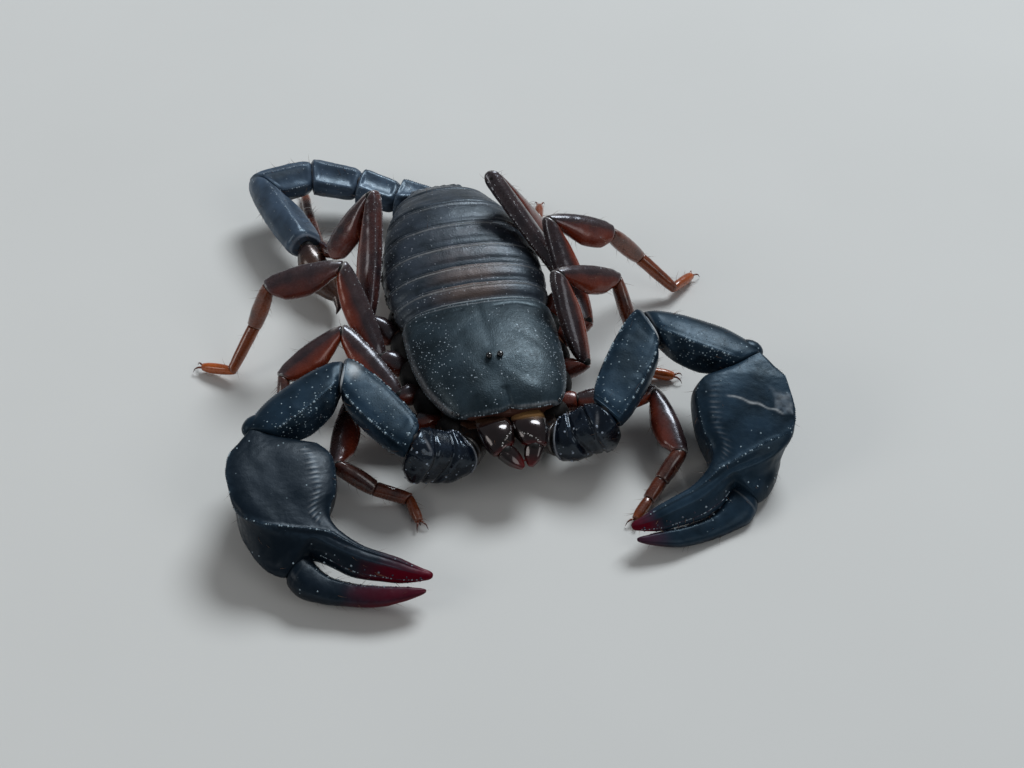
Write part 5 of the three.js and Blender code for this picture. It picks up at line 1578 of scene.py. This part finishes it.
# Jaws under the shield's front edge.
jawShapes = {
    "body": [[0, 0.6, 0.1, 0.6], [0.27, 0.79, 0.24, 0.66], [0.42, 0.84, 0.5, 0.7], [0.6, 0.83, 0.6, 0.7],
             [0.8, 0.74, 0.55, 0.64], [0.92, 0.63, 0.45, 0.54], [1, 0.54, 0.38, 0.46]],
    "finger": [[0, 0.48, 0.36, 0.42], [0.5, 0.4, 0.3, 0.34], [0.85, 0.22, 0.17, 0.2], [1, 0.12, 0.1, 0.12]],
}


def buildJaw(side):
    name = "left" if side > 0 else "right"
    root = np.array([side * 0.85 + 0.18, -3.7, 2.92])
    bend = np.array([side * 0.7 + 0.32, -5.3, 2.6])
    end = np.array([side * 0.16 + 0.5, -6.05, 2.1])

    def jawRelief(t, angle, grid):
        height, _ = keels(t, angle, [(135, 0.02, 14, 0.1, 0.8), (60, -0.015, 12, 0.2, 0.7)])
        return height + 0.006 * softNoise(grid, 0.4, 96), 0.0

    def jawMarks(t, angle):
        # The amber at the jaws' base is partly their own colour; its strength, full on the left jaw and
        # slight on the right, is a painted glow of light through the lit jaw.
        amber = (1.0 if side > 0 else 0.1) * ease(0.55, 0.3, t + 0.0018 * np.abs(turnFrom(angle, 110)))
        return {"tint": amber, "rim": 0.5 * ease(0.9, 1.0, t), "hairy": 0.5 * ease(0.5, 0.9, t)}

    start = root + (root - bend) * 0.36
    body = segment(start, bend, withRound(jawShapes["body"], 2.1), before=start + [0, 1, 0], after=end,
                   columns=56, step=0.04, soften=(0.1, 0.14), relief=jawRelief, marks=jawMarks)
    finger = segment(bend, end, withRound(jawShapes["finger"], 2.3), before=root, columns=36, step=0.04,
                     soften=(0.1, 0.08), relief=jawRelief,
                     marks=lambda t, a: {"rim": 0.9 * ease(0.35, 1, t), "hairy": 0.4})
    parts = [body["shell"]]
    # A slanting row of pale knobs.
    for i in range(7):
        ring = ringAt(body, 0.74 + 0.03 * i)
        degrees = (60 if side > 0 else 120) - side * (10 - 9 * i)
        column = np.argmin(np.abs(turnFrom(body["angle"], degrees)))
        up = unit(body["normals"][ring, column])
        across = unit(np.cross(up, [1.0, 0.2, 0.1]))
        axes = np.array([across, np.cross(up, across), up])
        parts.append(ball(body["grid"][ring, column], (0.045, 0.045, 0.03), axes, 8, 12, {"ridge": 1.0}))
    inward = np.array([-side, 0.0, 0.0])
    fixed = [bend + inward * 0.2 + [0, 0.1, 0.02], bend + inward * 0.26 + [0, -0.3, -0.16],
             bend + inward * 0.22 + [0, -0.55, -0.36]]
    parts.append(tube(fixed, [0.2, 0.13, 0.03], columns=14, rings=14,
                      masks=lambda t, a: {"rim": 0.3 + 0.6 * t}))
    settle(f"{name}Jaw", parts, "jaws", [f"jaw_{name}"])
    teeth = [finger["shell"]]
    for share in (0.35, 0.6):
        spot = bend + (end - bend) * share + inward * 0.26
        teeth.append(tube([spot, spot + inward * 0.1 - [0, 0, 0.02], spot + inward * 0.17],
                          [0.07, 0.045, 0.01], hint=(0, 1, 0), columns=10, rings=8,
                          masks=lambda t, a: {"rim": 0.8}))
    settle(f"{name}JawFinger", teeth, "jaws", [f"jaw_{name}_finger"])
    hairSources.append((body["shell"], 1.2))
    softJoint(bend, finger["along"], 0.4)


for side in (1, -1):
    buildJaw(side)
print("jaws are made")

# Tail, from the trunk to the sting.
tail = {
    "joints": [(-0.3, 14.24, 1.35), (-2.0, 15.05, 1.4), (-3.95, 16.1, 1.8), (-6.4, 16.95, 2.15),
               (-9.1, 16.4, 2.2), (-7.45, 11.35, 2.0)],
    "root": (-2.0, 13.48, 1.35),
    "widths": [1.08, 0.98, 0.95, 0.96, 1.06], "depths": [0.8, 0.7, 0.68, 0.72, 0.84],
    "tilts": [(0, 0, 1), (0.05, -0.2, 1), (0.1, -0.45, 1), (0.35, -0.55, 0.9), (0.75, 0.1, 0.75)],
}


def tailRelief(index):
    def relief(t, angle, grid):
        ridges = [*pair(30, 0.07, 10, 0.1, 0.93), (90, -0.1, 16, 0.12, 0.9), *pair(72, 0.04, 10, 0.1, 0.9),
                  *pair(50, -0.03, 10, 0.1, 0.9), *pair(30, 0.03, 12, 0.1, 0.9, 270)]
        if index == 4:
            ridges = [*pair(40, 0.05, 12, 0.08, 0.9), (90, -0.05, 20, 0.12, 0.85),
                      *pair(45, 0.05, 9, 0.08, 0.92, 270), (270, 0.04, 9, 0.08, 0.92)]
        height, mask = keels(t, angle, ridges)
        lip = hump(t, 0.94, 0.03)
        height = height + 0.05 * lip + 0.014 * softNoise(grid, 0.4, 97) + 0.006 * softNoise(grid, 0.15, 98)
        return height, np.clip(0.6 * mask + 0.35 * lip, 0, 1)

    return relief


def tailMarks(t, angle):
    return {"hairy": 0.5, "grain": 0.12 + 0.2 * hump(t, 0.93, 0.05), "rim": 0.5 * hump(t, 0.985, 0.012)}


joints = [np.array(j) for j in tail["joints"]]
for i, width in enumerate(tail["widths"]):
    shares = [[0, 0.8], [0.1, 0.92], [0.2, 0.96], [0.6, 1.0], [0.86, 1.04], [0.95, 0.98], [1, 0.86]]
    if i == 4:
        shares = [[0, 0.8], [0.1, 0.94], [0.35, 1.02], [0.65, 1.0], [0.9, 0.92], [1, 0.78]]
    depth = tail["depths"][i]
    rows = [[t, width * f, width * f * depth, width * f * depth * 0.96] for t, f in shares]
    before = joints[i - 1] if i > 0 else np.array(tail["root"])
    after = joints[i + 2] if i < 4 else None
    skin = segment(joints[i], joints[i + 1], withRound(rows, 2.7), hint=tail["tilts"][i], before=before,
                   after=after, columns=80, step=0.05, soften=(0.13, 0.13), relief=tailRelief(i),
                   marks=tailMarks, pinch=0.9)
    crests = (60, 120) if i < 4 else (50, 130)
    lines = [(degrees, 0.12, 0.92) for degrees in crests]
    parts = [skin["shell"], beadsOn(skin, lines, "tail", 0.035, 0.12, 0.4, 21 + i)]
    settle(f"tailRing{i + 1}", parts, "tail", [f"tail_{i + 1}"], grains(0.2, 0.028, 0.4, 150 + i))
    hairSources.append((skin["shell"], 0.9))
    softJoint(joints[i], skin["along"], width * 0.84 * 0.72)
softJoint(joints[5], np.array([0.0, -1.0, 0.0]), 0.46)

# Sting: a swollen bulb drawn out into a curved point.
stingShape = {
    "path": [(-7.42, 11.26, 2.0), (-7.4, 11.12, 1.97), (-7.26, 10.45, 1.66), (-6.94, 9.65, 1.26),
             (-6.54, 8.9, 1.02), (-6.28, 8.3, 0.9), (-6.32, 7.85, 0.76), (-6.5, 7.46, 0.62)],
    "radii": [0.38, 0.52, 0.75, 0.78, 0.56, 0.29, 0.16, 0.02],
}
stingSkin = tube(
    stingShape["path"], stingShape["radii"], columns=48, rings=110,
    masks=lambda t, a: {"tint": ease(0.62, 0.9, t) + ease(0.36, 0.16, t), "hairy": 1.4 * ease(0.8, 0.6, t)},
)
hairSources.append((stingSkin, 1.6))
settle("stingBulb", [stingSkin], "sting", ["sting"])
print("tail and sting are made")

# Underside of the head: breastplate, hips of the legs and arms.
breast = {
    "roots": {"1": (0.7, -1.5, 1.05), "2": (0.8, -0.2, 0.9), "3": (0.9, 1.0, 0.9), "4": (1.2, 2.4, 1.25)},
    "rows": [
        [-3.45, 1.55, 2.1, 1.45], [-2.6, 2.1, 1.2, 0.75], [-1.2, 2.5, 0.75, 0.0], [0.4, 2.9, 0.7, 0.0],
        [1.4, 3.2, 0.75, 0.0], [1.5, 3.2, 0.8, 0.45], [4.4, 3.35, 0.85, 0.45], [4.8, 2.9, 0.9, 0.5],
    ],
    "hip": [[0, 0.5, 0.5, 0.6], [0.5, 0.68, 0.6, 0.7], [0.85, 0.66, 0.62, 0.68], [1, 0.54, 0.56, 0.58]],
    "armRoot": [[0, 0.7, 0.6, 0.6], [0.5, 0.98, 0.72, 0.95], [1, 0.8, 0.72, 0.84]],
}


def buildUnderside():
    rows = breast["rows"]
    station = np.linspace(rows[0][0], rows[-1][0], 120)
    w, side, low = throughRows(rows, station).T
    level = np.full_like(w, 2.4)
    half = np.array([[w * 0.92, level], [w, (level + side) / 2 + 0.2], [w * 0.8, side], [w * 0.34, low]])
    corners = np.concatenate([half, (half * np.array([-1, 1])[None, :, None])[::-1]]).transpose(2, 0, 1)
    curve, _ = roundTheRing(corners, 64)
    grid = np.stack([curve[..., 0], np.repeat(station[:, None], 64, 1), curve[..., 1]], axis=-1)
    grid[..., 2] = np.clip(grid[..., 2], 0.0, 2.42)
    parts = [closeGrid(grid, {"tint": 0.25, "hairy": 0.3})]
    legHip = {"rows": breast["hip"], "columns": 40, "step": 0.09, "top": 2.42,
              "marks": lambda t, a: {"tint": 0.3 + 0.3 * t, "hairy": 0.4}}
    armHip = {"rows": breast["armRoot"], "columns": 48, "step": 0.08, "top": 2.6,
              "marks": lambda t, a: {"ridge": 1.0, "hairy": 0.4}}
    hips = []
    for name, joints in legs.items():
        turn = 1 if name[0] == "l" else -1
        x, y, z = breast["roots"][name[1]]
        # Hips on the right side get less of the orange colour: painted shade.
        hips.append(((turn * x, y, z), joints[0], joints[1], legHip, 1.0 if turn > 0 else 0.3))
    for arm in arms.values():
        hips.append(((arm["side"] * 1.0, -1.9, 1.5), arm["hip"], arm["shoulder"], armHip, 1.0))
    for root, end, after, kind, share in hips:
        coxa = segment(root, end, withRound(kind["rows"]), after=np.array(after), columns=kind["columns"],
                       step=kind["step"], relief=legRelief("collar"), marks=kind["marks"])["shell"]
        coxa["points"][:, 2] = np.minimum(coxa["points"][:, 2], kind["top"])
        coxa["masks"]["tint"] = coxa["masks"]["tint"] * share
        parts.append(coxa)
    settle("breastAndHips", parts, "belly", ["underside"])


buildUnderside()

# Combs: a jointed spine with a row of teeth each.
comb = {"start": (0.35, 1.85, 0.26), "end": (3.0, 3.1, 0.26), "teeth": 8,
        "rows": [[0, 0.3, 0.13, 0.15], [0.5, 0.27, 0.13, 0.14], [1, 0.2, 0.11, 0.13]]}
for side, name, solid in ((1, "combLeft", "comb_left"), (-1, "combRight", "comb_right")):
    start = np.array(comb["start"]) * [side, 1, 1]
    end = np.array(comb["end"]) * [side, 1, 1]
    spine = segment(start, end, withRound(comb["rows"], 2.4), columns=24, step=0.06, soften=(0.08, 0.08))
    parts = [spine["shell"]]
    for i in range(comb["teeth"]):
        spot = start + (end - start) * (0.3 + 0.66 * i / (comb["teeth"] - 1))
        drop = np.array([-side * 0.14, 0.4, -0.02])
        parts.append(tube([spot, spot + drop, spot + drop * 2 * 0.98], [0.11, 0.12, 0.07], columns=12,
                          rings=14, masks=lambda t, a: {"tint": 0.5 + 0.4 * t}))
    settle(name, parts, "belly", [solid])

# Folds of soft skin fill the sides between the hips, under the shield's edge. Their near-black finish
# there is partly painted shade for the shaded sides.
folds = [(2.5, -2.75, 1.75, 0.75, 0.75), (3.1, -0.75, 1.75, 0.8, 0.95), (3.45, 1.0, 1.8, 0.8, 1.0),
         (3.6, 3.0, 1.75, 0.75, 1.15), (3.5, 5.0, 1.7, 0.65, 0.95)]
for x, y, z, wide, long in folds:
    for side in (1, -1):
        place = (side * x + 0.3 * headTurn(y), y, z)
        softJoints.append(ball(place, (wide, long, 0.8), rings=16, columns=28))
settle("softJoints", softJoints, "membrane", [])


# Fine bristles over legs, arms, jaws, tail, back plates and belly.
bristleSizes = {"Density": 2.2e6, "Length": 0.42 * mm, "Thickness": 0.009 * mm, "Lean": 0.9,
                "Uneven": 0.45, "Seed": 77}


def buildBristles():
    source = makeObject("bristleBase", joinShells([
        {**shell, "masks": {**shell["masks"], "hairy": shell["masks"]["hairy"] * amount}}
        for shell, amount in hairSources
    ]), finishes["bristle"])
    mesh = grown(source, bristleCover, {**bristleSizes, "Finish": finishes["bristle"]})
    bpy.data.objects.remove(source)
    patch = 0.003  # how much of the skin's unwrap one bristle covers
    skinU, skinV, patchU, patchV = (
        readOut(mesh.attributes[title].data, "value") for title in ("skinU", "skinV", "patchU", "patchV")
    )
    place = np.column_stack([skinU + 0.5 * patch * patchU, skinV + patch * (patchV - 0.5)])
    corners = readOut(mesh.loops, "vertex_index", np.int32)
    layer = mesh.uv_layers.new(name="OFBake")
    layer.data.foreach_set("uv", place[corners].astype(np.float32).ravel())
    keepInside(mesh)
    made = addObject("bristles", mesh)
    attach(made, "root")
    return made


bristles = buildBristles()
print("bristles are made:", len(bristles.data.polygons), "faces")

# Plain pale floor, soft lights and the camera.
stage = {"floorSize": 900 * mm, "floorDrop": 0.02 * mm}
lights = {
    "keyLight": {"place": (170, 220, 300), "aim": (0, 2, 2), "size": (210, 160), "power": 1.58,
                 "color": (0.88, 0.95, 1.0)},
    "sideLight": {"place": (-120, -10, 70), "aim": (0, 0, 2), "size": (60, 60), "power": 0.03,
                  "color": (1.0, 0.98, 0.95)},
    "fillLight": {"place": (160, -210, 200), "aim": (0, 0, 2), "size": (160, 160), "power": 0.12,
                  "color": (1.0, 1.0, 1.0)},
}
sky = {"Color": (0.86, 0.93, 1.0, 1.0), "Strength": 0.19}
camera = {"azimuth": -12.9, "elevation": 46.0, "roll": 0.7, "distance": 80.0, "aim": (0.99, -0.59, 2.0),
          "lens": 58.15}


def buildFloor():
    mesh = bpy.data.meshes.new("floor")
    s, z = stage["floorSize"], -stage["floorDrop"]
    mesh.from_pydata([(-s, -s, z), (s, -s, z), (s, s, z), (-s, s, z)], [], [(0, 1, 2, 3)])
    floor = addObject("floor", mesh)
    material = bpy.data.materials.new("floorPaper")
    material.use_nodes = True
    tree = material.node_tree
    place = addNode(tree, "ShaderNodeTexCoord").outputs["Object"]
    inputs = {"Vector": place, "Scale": 60.0, "Detail": 4.0}
    soft = addNode(tree, "ShaderNodeTexNoise", inputs).outputs["Fac"]
    color = mixColor(tree, soft, (0.56, 0.55, 0.53), (0.6, 0.59, 0.57))
    shader = tree.nodes["Principled BSDF"]
    tree.links.new(color, shader.inputs["Base Color"])
    shader.inputs["Roughness"].default_value = 0.85
    mesh.materials.append(material)
    floor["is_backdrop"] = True


# Sets an object's axes and place, in metres.
def putAt(made, right, up, back, place):
    made.matrix_world = Matrix([*np.column_stack([right, up, back, place]).tolist(), [0, 0, 0, 1]])


def addLight(name, place, aim, size, power, color):
    light = bpy.data.lights.new(name, "AREA")
    light.shape = "ELLIPSE"
    light.size, light.size_y = size[0] * mm, size[1] * mm
    light.energy = power
    light.color = color
    made = addObject(name, light)
    back = unit(np.array(place, float) - np.array(aim, float))
    side = unit(np.cross(worldUp, back))
    putAt(made, side, np.cross(back, side), back, np.array(place) * mm)


def buildCamera():
    a, e = math.radians(camera["azimuth"]), math.radians(camera["elevation"])
    back = np.array([math.sin(a) * math.cos(e), -math.cos(a) * math.cos(e), math.sin(e)])
    right = np.array([math.cos(a), math.sin(a), 0.0])
    right, up = rolled(right, np.cross(back, right), camera["roll"])
    place = (np.array(camera["aim"]) + back * camera["distance"]) * mm
    data = bpy.data.cameras.new("camera")
    data.lens = camera["lens"]
    data.sensor_width = 36.0
    data.clip_start, data.clip_end = 0.001, 10.0
    made = addObject("camera", data)
    putAt(made, right, up, back, place)
    bpy.context.scene.camera = made


buildFloor()
for name, light in lights.items():
    addLight(name, **light)
world = bpy.data.worlds.new("studio")
bpy.context.scene.world = world
world.use_nodes = True
for title, value in sky.items():
    world.node_tree.nodes["Background"].inputs[title].default_value = value
bpy.context.scene.view_settings.view_transform = "Standard"
buildCamera()
print("stage, lights and camera are set")

low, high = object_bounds()
